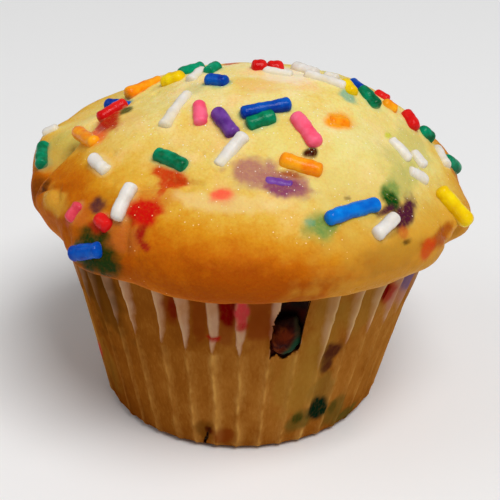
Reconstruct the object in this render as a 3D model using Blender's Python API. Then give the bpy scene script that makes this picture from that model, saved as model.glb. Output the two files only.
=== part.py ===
"""Unfrosted confetti cupcake in a pleated paper baking cup.

All sizes are in millimetres and become metres when a mesh is made. The cupcake stands on z = 0, with
the middle of its paper base at the origin. Azimuth 0 is the front, towards -Y, and grows towards +X.
On the crown, rise runs from 0 at the paper's rim to 1 at the top, along the surface.
"""

import math
import random

import bpy
import numpy as np

MM = 0.001
TINY = 1e-9

# Paper cup: a thin sheet with narrow flutes that stand out between flat panels.
CUP_HEIGHT = 33.5
CUP_FOOT_RADIUS = 23.8
CUP_RIM_RADIUS = 30.7
CUP_FOOT_CURVE = 2.4
PAPER_THICKNESS = 0.3
TOUCH_GAP = 0.3
FLUTE_POINT_HEIGHT = 20.8
FLUTE_DEPTH_RIM = 0.95
FLUTE_DEPTH_LOW = 0.32
FLUTE_HALF_WIDTH_RIM = 1.35
FLUTE_HALF_WIDTH_LOW = 0.5
FLUTE_TOP_SHARE = 0.72
FRONT_FLUTES = (-64.8, -56.1, -46.5, -38.4, -27.5, -19.2, -10.5, -1.8, 7.4, 16.3, 25.3, 34.8, 43.6, 52.9, 61)
BACK_FLUTE_COUNT = 26
FLUTE_JITTER = 0.14

# The cup leans to the right as it goes up, and the crown is lower there.
RIM_LEAN = 1.15
CROWN_TIP = math.radians(2.1)

# Crown, as (radius, height) from the paper's rim, over the lip and up to the top.
CROWN_OUTLINE = (
    (30.1, 33.95),
    (31.9, 33.95),
    (33.6, 33.9),
    (35.4, 36.0),
    (35.7, 39.2),
    (33.0, 42.8),
    (26.0, 48.4),
    (15.6, 53.9),
    (7.2, 56.7),
    (0.0, 57.5),
)
OUTLINE_STEPS = 24
CROWN_COLUMNS = 88
CROWN_ROWS = 25

# Swellings of the crown: azimuth, rise, height, half-width across and half-width along the rise.
SWELLINGS = (
    (-100, 0.25, 0.7, 8.0, 4.0),
    (-84, 0.15, -0.9, 8.0, 4.0),
    (-113, 0.43, -1.3, 12.0, 5.0),
    (-110, 0.66, -1.2, 11.0, 8.0),
    (-60, 0.13, -1.0, 5.0, 4.0),
    (-43, 0.10, 1.4, 6.0, 3.5),
    (-4, 0.10, 0.9, 15.0, 4.0),
    (11, 0.09, 0.8, 7.0, 3.5),
    (84, 0.19, -0.6, 5.0, 3.0),
    (73, 0.12, 1.5, 4.0, 3.0),
    (100, 0.34, -1.0, 8.0, 5.0),
    (100, 0.57, 1.0, 9.0, 8.0),
    (-18, 0.35, 0.5, 12.0, 5.0),
    (48, 0.56, 0.5, 8.0, 8.0),
    (160, 0.42, 1.2, 14.0, 8.0),
    (-160, 0.63, -0.8, 9.0, 7.0),
    (176, 0.75, -1.5, 8.0, 7.0),
)

# Creases: depth, half-width, and the (azimuth, rise) points that each runs through.
CREASES = (
    (1.5, 1.9, ((-93, 0.54), (-84, 0.40), (-77, 0.27), (-72, 0.14), (-70, 0.06))),
    (0.7, 1.3, ((-34, 0.41), (-29, 0.44), (-21, 0.44))),
    (0.6, 1.2, ((-33, 0.28), (-31, 0.20))),
    (1.2, 2.0, ((150, 0.55), (140, 0.40), (137, 0.22), (143, 0.08))),
    (0.9, 1.5, ((66, 0.14), (56, 0.11))),
)
UNEVENNESS = 0.38
WAVE_COUNT = 14
WAVE_LENGTHS = (13.0, 34.0)
RELIEF_FADE_RISES = (0.04, 0.12)
NEARBY = 0.01

# The torn place at the front: its outline as (azimuth, height), open at the rim.
TEAR_OUTLINE = (
    (9.0, 36.0),
    (8.9, 30.8),
    (7.6, 28.4),
    (7.3, 23.4),
    (7.6, 20.6),
    (9.5, 21.5),
    (12.0, 20.2),
    (14.6, 21.3),
    (16.7, 22.4),
    (17.3, 26.0),
    (17.9, 29.0),
    (17.9, 36.0),
)
TEAR_DEPTHS = (22.0, 36.0)
PIT_AZIMUTH = 12.0
PIT_HEIGHT = 27.6
PIT_HALF_SIZES = (3.0, 2.3, 6.6)
PIT_SIDES = 12
PIT_LEVELS = 6

# Sprinkles: colour, azimuth, rise, heading from sideways towards up the slope, length and radius.
SPRINKLE_SIDES = 6
SPRINKLE_END = 0.35
SPRINKLE_LIFT = 0.25
SHOWN_SPRINKLES = (
    ("green", -112, 0.782, 105, 4.8, 1.10),
    ("green", -98, 0.870, 160, 3.4, 1.05),
    ("yellow", -99, 0.735, 78, 4.2, 1.30),
    ("white", -91, 0.820, 152, 4.6, 1.10),
    ("blue", -49, 0.850, 15, 4.2, 1.10),
    ("orange", -107, 0.610, 150, 7.6, 1.15),
    ("blue", -97, 0.535, 55, 6.2, 1.05),
    ("red", -86, 0.530, 116, 5.6, 1.05),
    ("orange", -75.5, 0.426, 8, 7.2, 1.15),
    ("white", -53.8, 0.403, 175, 5.0, 1.05),
    ("white", -98, 0.278, 93, 3.0, 1.00),
    ("green", -85, 0.262, 171, 6.2, 1.05),
    ("white", -35.8, 0.331, 96, 6.2, 1.10),
    ("white", -49.6, 0.686, 115, 9.2, 1.10),
    ("pink", -33.3, 0.700, 125, 4.8, 1.10),
    ("purple", -16.2, 0.689, 135, 6.0, 1.15),
    ("blue", 8.3, 0.745, 8, 8.0, 1.08),
    ("green", 4.4, 0.704, 19, 4.7, 1.20),
    ("white", -9.3, 0.589, 62, 7.0, 1.08),
    ("pink", 25.7, 0.639, 96, 6.8, 1.18),
    ("orange", 17.9, 0.526, 151, 6.6, 1.30),
    ("green", -31.0, 0.509, 174, 5.8, 1.15),
    ("purple", 8.8, 0.476, 164, 4.4, 1.00),
    ("orange", 47.5, 0.643, 148, 3.4, 1.30),
    ("blue", 27.9, 0.345, 5, 9.5, 1.12),
    ("white", 35.6, 0.281, 20, 5.5, 1.08),
    ("white", 64.2, 0.468, 83, 4.7, 1.10),
    ("white", 68.5, 0.406, 73, 3.5, 1.15),
    ("white", 61.8, 0.373, 125, 4.0, 1.10),
    ("white", 85.3, 0.323, 22, 5.2, 1.10),
    ("green", 90, 0.262, 120, 4.6, 1.15),
    ("yellow", 65.2, 0.228, 95, 7.4, 1.30),
    ("green", 89, 0.403, 115, 3.4, 1.15),
    ("red", 86.3, 0.478, 34, 4.0, 1.20),
    ("orange", 86, 0.558, 95, 2.8, 1.00),
    ("red", 93, 0.582, 56, 2.8, 0.95),
    ("green", 81.8, 0.633, 52, 4.8, 1.15),
    ("blue", 89, 0.672, 28, 3.7, 1.05),
    ("yellow", 81, 0.700, 29, 4.0, 1.10),
    ("white", 86.5, 0.925, 80, 5.2, 1.05),
    ("white", 108, 0.824, 24, 5.4, 1.10),
    ("white", 82.3, 0.775, 74, 7.2, 1.05),
    ("white", 96, 0.751, 50, 2.8, 0.90),
    ("red", 130, 0.977, 60, 2.6, 1.15),
    ("red", 122, 0.918, 78, 2.9, 1.10),
    ("pink", -49.6, 0.245, 82, 3.3, 1.10),
    ("red", -38.9, 0.257, 166, 3.2, 1.10),
    ("blue", -40.8, 0.165, 23, 5.8, 1.20),
)
BACK_SPRINKLES = 12
BACK_FROM_AZIMUTH = 132
BACK_LOWEST_RISE = 0.2
BACK_TOP_RISES = (0.24, 0.42)
BACK_LENGTHS = (3.6, 7.8)
BACK_RADIUS = 1.1
PLACES_TRIED = 40
SEED = 7

COLOURS = {
    "crust": (0.78, 0.52, 0.17),
    "paper": (0.62, 0.44, 0.24),
    "blue": (0.01, 0.10, 0.55),
    "green": (0.00, 0.27, 0.12),
    "red": (0.70, 0.02, 0.02),
    "pink": (0.83, 0.11, 0.22),
    "orange": (0.90, 0.30, 0.01),
    "yellow": (0.90, 0.68, 0.01),
    "purple": (0.13, 0.04, 0.33),
    "white": (0.80, 0.74, 0.66),
}
SPRINKLE_COLOURS = ("blue", "green", "red", "pink", "orange", "yellow", "purple", "white")
PAPER_ROUGHNESS = 0.6
FOOD_ROUGHNESS = 0.5


def clear_scene():
    for thing in list(bpy.data.objects):
        bpy.data.objects.remove(thing, do_unlink=True)


def material(name, roughness):
    made = bpy.data.materials.new(name)
    made.use_nodes = True
    shader = made.node_tree.nodes["Principled BSDF"]
    shader.inputs["Base Color"].default_value = (*COLOURS[name], 1.0)
    shader.inputs["Roughness"].default_value = roughness
    shader.inputs["Metallic"].default_value = 0.0
    return made


def make_object(name, points, faces, look):
    mesh = bpy.data.meshes.new(name)
    mesh.from_pydata([tuple(MM * value for value in point) for point in points], [], faces)
    mesh.materials.append(look)
    mesh.shade_smooth()
    mesh.update()
    made = bpy.data.objects.new(name, mesh)
    bpy.context.scene.collection.objects.link(made)
    return made


def place(azimuth, radius, height):
    """The point at this azimuth (radians), with the cup's lean and the crown's tip."""
    share = np.clip(height / CUP_HEIGHT, 0.0, 1.0)
    lean = RIM_LEAN * share + math.tan(CROWN_TIP) * np.maximum(height - CUP_HEIGHT, 0.0)
    x = radius * np.sin(azimuth) + lean
    y = -radius * np.cos(azimuth)
    z = height - math.tan(CROWN_TIP) * x * share
    return np.stack(np.broadcast_arrays(x, y, z), axis=-1)


def smooth_line(points, steps):
    """A Catmull-Rom curve through the points, mirrored in the axis at its last one."""
    inner = np.array(points, float)
    before = 2 * inner[0] - inner[1]
    after = inner[-2] * (-1, 1)
    knots = np.vstack([before, inner, after])
    t = np.linspace(0, 1, steps, endpoint=False)[:, None]
    runs = []
    for a, b, c, d in zip(knots[:-3], knots[1:-2], knots[2:-1], knots[3:]):
        bend = (2 * a - 5 * b + 4 * c - d) * t**2 + (3 * b - a - 3 * c + d) * t**3
        runs.append(b + (c - a) * t / 2 + bend / 2)
    return np.vstack([*runs, inner[-1:]])


CROWN_CURVE = smooth_line(CROWN_OUTLINE, OUTLINE_STEPS)
CURVE_LENGTHS = np.concatenate([[0], np.cumsum(np.linalg.norm(np.diff(CROWN_CURVE, axis=0), axis=1))])
CROWN_LENGTH = CURVE_LENGTHS[-1]


def crown_outline_at(rise):
    """Radius, height and outward direction of the plain outline at each rise."""
    along = rise * CROWN_LENGTH
    radius = np.interp(along, CURVE_LENGTHS, CROWN_CURVE[:, 0])
    height = np.interp(along, CURVE_LENGTHS, CROWN_CURVE[:, 1])
    slopes = np.gradient(CROWN_CURVE, CURVE_LENGTHS, axis=0)
    run = np.interp(along, CURVE_LENGTHS, slopes[:, 0])
    climb = np.interp(along, CURVE_LENGTHS, slopes[:, 1])
    steep = np.hypot(run, climb)
    return radius, height, climb / steep, -run / steep


def turn_between(azimuth, other):
    """The signed angle from other to azimuth, within half a turn."""
    return (azimuth - other + math.pi) % (2 * math.pi) - math.pi


def swelling_height(azimuth, rise, radius):
    total = 0.0
    for at, at_rise, height, across, along in SWELLINGS:
        sideways = turn_between(azimuth, math.radians(at)) * radius / across
        upward = (rise - at_rise) * CROWN_LENGTH / along
        total = total + height * np.exp(-(sideways**2) - upward**2)
    return total


def crease_depth(azimuth, rise, radius):
    total = 0.0
    for depth, half_width, route in CREASES:
        nearest = np.full(np.broadcast(azimuth, rise).shape, np.inf)
        for (start_at, start_rise), (end_at, end_rise) in zip(route, route[1:]):
            x = turn_between(azimuth, math.radians(start_at)) * radius
            y = (rise - start_rise) * CROWN_LENGTH
            end_x = math.radians(end_at - start_at) * radius
            end_y = (end_rise - start_rise) * CROWN_LENGTH
            share = np.clip((x * end_x + y * end_y) / (end_x**2 + end_y**2 + TINY), 0, 1)
            nearest = np.minimum(nearest, np.hypot(x - share * end_x, y - share * end_y))
        total = total + depth * np.exp(-((nearest / half_width) ** 2))
    return total


def wave_set():
    """Long waves in every direction, drawn once, that make the crust uneven."""
    draw = random.Random(SEED)
    waves = []
    for _ in range(WAVE_COUNT):
        direction = np.array([draw.gauss(0, 1) for _ in range(3)])
        direction *= 2 * math.pi / draw.uniform(*WAVE_LENGTHS) / np.linalg.norm(direction)
        waves.append((direction, draw.uniform(0, 2 * math.pi)))
    return waves


WAVES = wave_set()


def unevenness(points):
    total = sum(np.sin(points @ direction + phase) for direction, phase in WAVES)
    return UNEVENNESS * total * math.sqrt(2 / WAVE_COUNT)


def crown_surface(azimuth, rise):
    """The points of the crown's surface, with its swellings, creases and unevenness."""
    radius, height, out_run, out_climb = crown_outline_at(rise)
    relief = swelling_height(azimuth, rise, radius) - crease_depth(azimuth, rise, radius)
    relief = relief + unevenness(place(azimuth, radius, height))
    relief = relief * np.interp(rise, RELIEF_FADE_RISES, (0, 1))
    return place(azimuth, radius + relief * out_run, height + relief * out_climb)


def ring_faces(first, second, count):
    """Quads between two rings of the same count, whose points start at these indices."""
    return [
        (first + i, first + (i + 1) % count, second + (i + 1) % count, second + i)
        for i in range(count)
    ]


def cup_radius(height):
    """Radius of the middle of the paper's flat panels."""
    share = (height - CUP_FOOT_CURVE) / (CUP_HEIGHT - CUP_FOOT_CURVE)
    return CUP_FOOT_RADIUS + (CUP_RIM_RADIUS - CUP_FOOT_RADIUS) * share


def build_cake(look):
    """The solid cake: a plain foot and side inside the paper, and the crown over it."""
    azimuths = np.linspace(0, 2 * math.pi, CROWN_COLUMNS, endpoint=False)
    inset = PAPER_THICKNESS / 2 + TOUCH_GAP
    floor = PAPER_THICKNESS + TOUCH_GAP
    foot_radius = CUP_FOOT_RADIUS - CUP_FOOT_CURVE
    curve = CUP_FOOT_CURVE - inset
    rings = [
        place(azimuths, foot_radius + curve * math.sin(angle), CUP_FOOT_CURVE - curve * math.cos(angle))
        for angle in (0, math.pi / 4, math.pi / 2)
    ]
    rings[0][:, 2] = floor
    rings += [crown_surface(azimuths, rise) for rise in np.linspace(0, 1, CROWN_ROWS)[:-1]]
    top = crown_surface(np.zeros(1), np.ones(1))
    points = np.vstack([*rings, top, [[0, 0, floor]]])
    faces = []
    for index in range(len(rings) - 1):
        faces += ring_faces(index * CROWN_COLUMNS, (index + 1) * CROWN_COLUMNS, CROWN_COLUMNS)
    last = (len(rings) - 1) * CROWN_COLUMNS
    top_index = len(rings) * CROWN_COLUMNS
    for i in range(CROWN_COLUMNS):
        after = (i + 1) % CROWN_COLUMNS
        faces.append((last + i, last + after, top_index))
        faces.append((after, i, top_index + 1))
    return make_object("cake", points, faces, look)


def surface_frame(azimuth, rise):
    """A point on the crown, with its sideways, up-the-slope and outward directions."""
    azimuths = azimuth + np.array([0, NEARBY, 0])
    rises = rise + np.array([0, 0, NEARBY])
    here, right, above = crown_surface(azimuths, rises)
    right, above = right - here, above - here
    outward = np.cross(right, above)
    outward /= np.linalg.norm(outward)
    sideways = right / np.linalg.norm(right)
    return here, sideways, np.cross(outward, sideways), outward


def sprinkle_object(name, colour, azimuth, rise, heading, length, radius, looks):
    """A short six-sided rod with blunt pointed ends, half sunk in the crust."""
    here, sideways, uphill, outward = surface_frame(math.radians(azimuth), rise)
    turn = math.radians(heading)
    forward = sideways * math.cos(turn) + uphill * math.sin(turn)
    across = np.cross(outward, forward)
    centre = here + outward * SPRINKLE_LIFT
    half = length / 2 - SPRINKLE_END
    points = []
    for end in (-half, half):
        for side in range(SPRINKLE_SIDES):
            angle = 2 * math.pi * side / SPRINKLE_SIDES
            ring = across * math.cos(angle) + outward * math.sin(angle)
            points.append(centre + forward * end + ring * radius)
    points.append(centre - forward * (half + SPRINKLE_END))
    points.append(centre + forward * (half + SPRINKLE_END))
    faces = ring_faces(0, SPRINKLE_SIDES, SPRINKLE_SIDES)
    for side in range(SPRINKLE_SIDES):
        after = (side + 1) % SPRINKLE_SIDES
        faces.append((after, side, 2 * SPRINKLE_SIDES))
        faces.append((SPRINKLE_SIDES + side, SPRINKLE_SIDES + after, 2 * SPRINKLE_SIDES + 1))
    return make_object(name, points, faces, looks[colour])


def back_sprinkles():
    """Sprinkles for the side that faces away, each placed as far as it can be from the others.

    They reach highest at the very back.
    """
    draw = random.Random(SEED)
    shown = np.array([row[1:3] for row in SHOWN_SPRINKLES])
    taken = list(crown_surface(np.radians(shown[:, 0]), shown[:, 1]))
    reach = 180 - BACK_FROM_AZIMUTH
    chosen = []
    for _ in range(BACK_SPRINKLES):
        places = []
        for _ in range(PLACES_TRIED):
            turn = draw.uniform(-reach, reach)
            top_rise = np.interp(abs(turn), (0, reach), BACK_TOP_RISES[::-1])
            places.append((180 + turn, draw.uniform(BACK_LOWEST_RISE, top_rise)))
        azimuths, rises = np.array(places).T
        spots = crown_surface(np.radians(azimuths), rises)
        rooms = [min(np.linalg.norm(spot - other) for other in taken) for spot in spots]
        best = int(np.argmax(rooms))
        taken.append(spots[best])
        colour = draw.choice(SPRINKLE_COLOURS)
        heading = draw.uniform(0, 180)
        length = draw.uniform(*BACK_LENGTHS)
        chosen.append((colour, *places[best], heading, length, BACK_RADIUS))
    return chosen


def fuse_sprinkles(cake, looks):
    """Joins every sprinkle to the cake by one union, then removes the loose ones."""
    group = bpy.data.collections.new("sprinkles")
    bpy.context.scene.collection.children.link(group)
    for index, row in enumerate([*SHOWN_SPRINKLES, *back_sprinkles()]):
        made = sprinkle_object(f"sprinkle_{index}", *row, looks)
        bpy.context.scene.collection.objects.unlink(made)
        group.objects.link(made)
    join = cake.modifiers.new("join_sprinkles", "BOOLEAN")
    join.operation = "UNION"
    join.operand_type = "COLLECTION"
    join.collection = group
    join.solver = "EXACT"
    join.material_mode = "TRANSFER"
    apply_modifiers(cake)
    for thing in list(group.objects):
        bpy.data.objects.remove(thing, do_unlink=True)
    bpy.data.collections.remove(group)


def apply_modifiers(thing):
    graph = bpy.context.evaluated_depsgraph_get()
    mesh = bpy.data.meshes.new_from_object(thing.evaluated_get(graph))
    thing.modifiers.clear()
    thing.data = mesh


def flute_azimuths():
    """The front flutes as they stand, and the rest spread evenly with a small seeded shift."""
    draw = random.Random(SEED)
    start = FRONT_FLUTES[-1]
    pitch = (360 + FRONT_FLUTES[0] - start) / (BACK_FLUTE_COUNT + 1)
    back = [
        start + pitch * (number + draw.uniform(-FLUTE_JITTER, FLUTE_JITTER))
        for number in range(1, BACK_FLUTE_COUNT + 1)
    ]
    return np.radians([*FRONT_FLUTES, *back])


def cup_section(radius, depth, half_width):
    """One ring of the paper's middle, in plan: two feet and two top corners for each flute."""
    ring = []
    for at in flute_azimuths():
        for side, out in ((-1, 0), (-FLUTE_TOP_SHARE, 1), (FLUTE_TOP_SHARE, 1), (1, 0)):
            azimuth = at + side * half_width / radius
            ring.append((azimuth, radius + out * depth))
    return np.array(ring)


def offset_ring(ring, distance):
    """The ring of (azimuth, radius) points moved outward, square to its own edges in plan."""
    x = ring[:, 1] * np.sin(ring[:, 0])
    y = -ring[:, 1] * np.cos(ring[:, 0])
    plan = np.stack([x, y], axis=1)
    along = np.roll(plan, -1, axis=0) - plan
    normal = np.stack([along[:, 1], -along[:, 0]], axis=1)
    normal /= np.linalg.norm(normal, axis=1, keepdims=True)
    mitre = normal + np.roll(normal, 1, axis=0)
    mitre /= (mitre * normal).sum(axis=1, keepdims=True)
    moved = plan + distance * mitre
    return np.arctan2(moved[:, 0], -moved[:, 1]), np.hypot(moved[:, 0], moved[:, 1])


def cup_rows():
    """Radius, height, outward and downward share, flute depth and half-width of each ring."""
    rows = []
    for angle in (0, math.pi / 4, math.pi / 2):
        share = angle / (math.pi / 2)
        rows.append(
            (
                CUP_FOOT_RADIUS - CUP_FOOT_CURVE * (1 - math.sin(angle)),
                CUP_FOOT_CURVE * (1 - math.cos(angle)) + PAPER_THICKNESS / 2 * math.cos(angle),
                math.sin(angle),
                math.cos(angle),
                FLUTE_DEPTH_LOW * share,
                FLUTE_HALF_WIDTH_LOW,
            )
        )
    point_row = (FLUTE_POINT_HEIGHT, FLUTE_DEPTH_LOW, FLUTE_HALF_WIDTH_LOW)
    rim_row = (CUP_HEIGHT, FLUTE_DEPTH_RIM, FLUTE_HALF_WIDTH_RIM)
    for height, depth, half_width in (point_row, rim_row):
        rows.append((cup_radius(height), height, 1.0, 0.0, depth, half_width))
    return rows


def build_cup(look):
    """The paper as a thin closed shell: outer rings, then inner rings, with a floor each."""
    outer, inner = [], []
    half = PAPER_THICKNESS / 2
    for radius, height, outward, downward, depth, half_width in cup_rows():
        ring = cup_section(radius, depth, half_width)
        for rings, side in ((outer, 1), (inner, -1)):
            azimuth, ring_radius = offset_ring(ring, side * half * outward)
            rings.append(place(azimuth, ring_radius, height - side * half * downward))
    count = len(outer[0])
    rings = [*outer, *inner[::-1]]
    faces = [tuple(range(count))[::-1]]
    for index in range(len(rings) - 1):
        faces += ring_faces(index * count, (index + 1) * count, count)
    last = (len(rings) - 1) * count
    faces.append(tuple(range(last, last + count)))
    return make_object("paper_cup", np.vstack(rings), faces, look)


def tear_cutter(look):
    """A radial prism with the torn outline, longer than the paper is thick."""
    azimuths = np.radians([azimuth for azimuth, _ in TEAR_OUTLINE])
    heights = np.array([height for _, height in TEAR_OUTLINE])
    near, far = (place(azimuths, radius, heights) for radius in TEAR_DEPTHS)
    count = len(TEAR_OUTLINE)
    faces = [tuple(range(count))[::-1], tuple(range(count, 2 * count))]
    faces += ring_faces(0, count, count)
    return make_object("tear_cutter", np.vstack([near, far]), faces, look)


def pit_cutter(look):
    """An upright egg that hollows the cake behind the torn place."""
    across, deep, tall = PIT_HALF_SIZES
    azimuth = math.radians(PIT_AZIMUTH)
    centre = place(azimuth, cup_radius(PIT_HEIGHT), PIT_HEIGHT)
    sideways = np.array([math.cos(azimuth), math.sin(azimuth), 0])
    outward = np.array([math.sin(azimuth), -math.cos(azimuth), 0])
    upward = np.array([0, 0, 1])
    points = [centre - upward * tall]
    for level in range(1, PIT_LEVELS):
        polar = math.pi * level / PIT_LEVELS
        for side in range(PIT_SIDES):
            angle = 2 * math.pi * side / PIT_SIDES
            reach = math.sin(polar)
            spot = sideways * across * reach * math.cos(angle) - outward * deep * reach * math.sin(angle)
            points.append(centre + spot - upward * tall * math.cos(polar))
    points.append(centre + upward * tall)
    faces = []
    for level in range(PIT_LEVELS - 2):
        faces += ring_faces(1 + level * PIT_SIDES, 1 + (level + 1) * PIT_SIDES, PIT_SIDES)
    top = len(points) - 1
    for side in range(PIT_SIDES):
        after = (side + 1) % PIT_SIDES
        faces.append((1 + after, 1 + side, 0))
        faces.append((top - PIT_SIDES + side, top - PIT_SIDES + after, top))
    return make_object("pit_cutter", points, faces, look)


def cut(target, cutter):
    cutter.hide_render = True
    cutter.display_type = "WIRE"
    carve = target.modifiers.new(f"cut_{cutter.name}", "BOOLEAN")
    carve.operation = "DIFFERENCE"
    carve.object = cutter
    carve.solver = "EXACT"


def main():
    clear_scene()
    looks = {name: material(name, FOOD_ROUGHNESS) for name in ("crust", *SPRINKLE_COLOURS)}
    looks["paper"] = material("paper", PAPER_ROUGHNESS)
    cake = build_cake(looks["crust"])
    fuse_sprinkles(cake, looks)
    cut(cake, pit_cutter(looks["crust"]))
    cup = build_cup(looks["paper"])
    cut(cup, tear_cutter(looks["paper"]))


main()
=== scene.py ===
"""Looks of an unfrosted confetti cupcake: its crust, sprinkles and pleated paper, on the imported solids.

Sizes are in millimetres and become metres when a mesh is made. Azimuth 0 is the front, towards -Y,
and grows towards +X. On the crown, rise runs from 0 at the paper's rim to 1 at the top.
"""

import math
import random

import bpy
import numpy as np
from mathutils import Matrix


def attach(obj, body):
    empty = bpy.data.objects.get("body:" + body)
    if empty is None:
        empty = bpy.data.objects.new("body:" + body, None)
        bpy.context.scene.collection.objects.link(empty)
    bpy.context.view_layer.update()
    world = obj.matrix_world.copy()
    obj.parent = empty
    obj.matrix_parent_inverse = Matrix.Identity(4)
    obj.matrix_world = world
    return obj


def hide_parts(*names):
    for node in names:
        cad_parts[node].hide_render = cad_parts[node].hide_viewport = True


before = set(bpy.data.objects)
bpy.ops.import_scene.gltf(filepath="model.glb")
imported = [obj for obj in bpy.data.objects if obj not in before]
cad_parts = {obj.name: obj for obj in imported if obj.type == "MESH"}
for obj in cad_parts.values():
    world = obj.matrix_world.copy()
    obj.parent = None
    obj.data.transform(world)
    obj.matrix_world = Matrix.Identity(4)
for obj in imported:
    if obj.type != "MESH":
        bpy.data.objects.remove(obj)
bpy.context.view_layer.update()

MM = 0.001
TINY = 1e-9
SEED = 7
ROOT = "root"

# ---------------------------------------------------------------- sizes shared with the solids
CUP_HEIGHT = 33.5
CUP_FOOT_RADIUS = 23.8
CUP_RIM_RADIUS = 30.7
CUP_FOOT_CURVE = 2.4
PAPER_THICKNESS = 0.3
TOUCH_GAP = 0.3
FLUTE_POINT_HEIGHT = 20.8
FRONT_FLUTES = (-64.8, -56.1, -46.5, -38.4, -27.5, -19.2, -10.5, -1.8, 7.4, 16.3, 25.3, 34.8, 43.6, 52.9, 61)
BACK_FLUTE_COUNT = 26
FLUTE_JITTER = 0.14
RIM_LEAN = 1.15
CROWN_TIP = math.radians(2.1)
CROWN_OUTLINE = (
    (30.1, 33.95), (31.9, 33.95), (33.6, 33.9), (35.4, 36), (35.7, 39.2), (33, 42.8), (26, 48.4),
    (15.6, 53.9), (7.2, 56.7), (0, 57.5),
)
OUTLINE_STEPS = 24
# Swellings of the crown: azimuth, rise, height, half-width across and half-width along the rise.
SWELLINGS = (
    (-100, 0.25, 0.7, 8, 4), (-84, 0.15, -0.9, 8, 4), (-113, 0.43, -1.3, 12, 5),
    (-110, 0.66, -1.2, 11, 8), (-60, 0.13, -1, 5, 4), (-43, 0.1, 1.4, 6, 3.5), (-4, 0.1, 0.9, 15, 4),
    (11, 0.09, 0.8, 7, 3.5), (84, 0.19, -0.6, 5, 3), (73, 0.12, 1.5, 4, 3), (100, 0.34, -1, 8, 5),
    (100, 0.57, 1, 9, 8), (-18, 0.35, 0.5, 12, 5), (48, 0.56, 0.5, 8, 8), (160, 0.42, 1.2, 14, 8),
    (-160, 0.63, -0.8, 9, 7), (176, 0.75, -1.5, 8, 7),
)
# Creases: depth, half-width, and the (azimuth, rise) points that each runs through.
CREASES = (
    (1.5, 1.9, ((-93, 0.54), (-84, 0.4), (-77, 0.27), (-72, 0.14), (-70, 0.06))),
    (0.7, 1.3, ((-34, 0.41), (-29, 0.44), (-21, 0.44))), (0.6, 1.2, ((-33, 0.28), (-31, 0.2))),
    (1.2, 2, ((150, 0.55), (140, 0.4), (137, 0.22), (143, 0.08))), (0.9, 1.5, ((66, 0.14), (56, 0.11))),
)
UNEVENNESS = 0.38
WAVE_COUNT = 14
WAVE_LENGTHS = (13, 34)
RELIEF_FADE_RISES = (0.04, 0.12)
NEARBY = 0.01

# ---------------------------------------------------------------- noise
# Factors that scatter whole-number cells and a seed over all numbers.
CELL_FACTORS = (73856093, 19349663, 83492791)
SEED_FACTOR = 15485863
MIX_FACTOR = 1274126177

# ---------------------------------------------------------------- the crust's finer form
CROWN_COLUMNS = 480
CROWN_ROWS = 160
SIDE_ROWS = 36
FOOT_ROWS = 5
# Sizes and strengths of the crust's lumps.
LUMPS = ((5.5, 0.16), (2.6, 0.1), (1.2, 0.055))
LUMPS_SEED = 10
# Finer creases and bumps, in rows like those of the creases and the swellings.
FINE_CREASES = (
    (0.9, 0.55, ((-92, 0.52), (-84, 0.4), (-77, 0.28), (-73, 0.19))),
    (0.5, 0.45, ((-35, 0.395), (-29, 0.425), (-26, 0.452), (-17, 0.461))),
    (0.4, 0.4, ((-33, 0.29), (-31, 0.2))),
    (0.6, 0.45, ((-70, 0.21), (-66, 0.245), (-62, 0.275), (-59, 0.245))),
    (0.7, 0.5, ((148, 0.52), (140, 0.4), (137, 0.24))), (0.5, 0.5, ((62, 0.13), (55, 0.16))),
    (0.35, 0.4, ((-168, 0.3), (-160, 0.34), (-150, 0.33))),
)
FINE_BUMPS = (
    (-62, 0.225, 0.7, 1.5, 2.2), (-24, 0.4, 0.35, 3.2, 1.8), (-49, 0.155, -0.8, 1.3, 1.6),
    (29.7, 0.404, -0.25, 0.6, 0.6), (23.2, 0.56, 0.55, 0.9, 0.75), (38, 0.235, -0.3, 0.7, 0.6),
    (41, 0.232, -0.35, 0.6, 0.5), (56, 0.19, -0.6, 1.6, 1), (-27.5, 0.25, -0.35, 0.8, 3),
)
PORE_COUNT = 170
PORE_RADII = (0.25, 0.65)
PORE_DEPTHS = (0.1, 0.32)
PORE_RISES = (0.1, 0.75)
PORE_CROWDING = 1.3
FINE_FADE_RISES = (0, 0.05)
COLLAR_HEIGHT = 0.16
COLLAR_REACH = 0.55

# ---------------------------------------------------------------- sprinkles
SPRINKLE_ROUND = 16
SPRINKLE_RINGS = 20
SPRINKLE_BEND = 0.16
SPRINKLE_SEED = 70
SPRINKLE_GRAIN = 0.9
SPRINKLE_UNEVENNESS = 0.05
# Waves along a sprinkle: height, pace and how many times the drawn phase they are shifted.
SPRINKLE_WAVES = ((0.04, 1.9, 1), (0.03, 4.3, 2))
LARGEST_PHASE = 9
THICKNESS_SPREAD = (0.97, 1.04)
BLUNT_ENDS = (0.5, 0.8)
END_FULLNESS = 2.6
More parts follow.
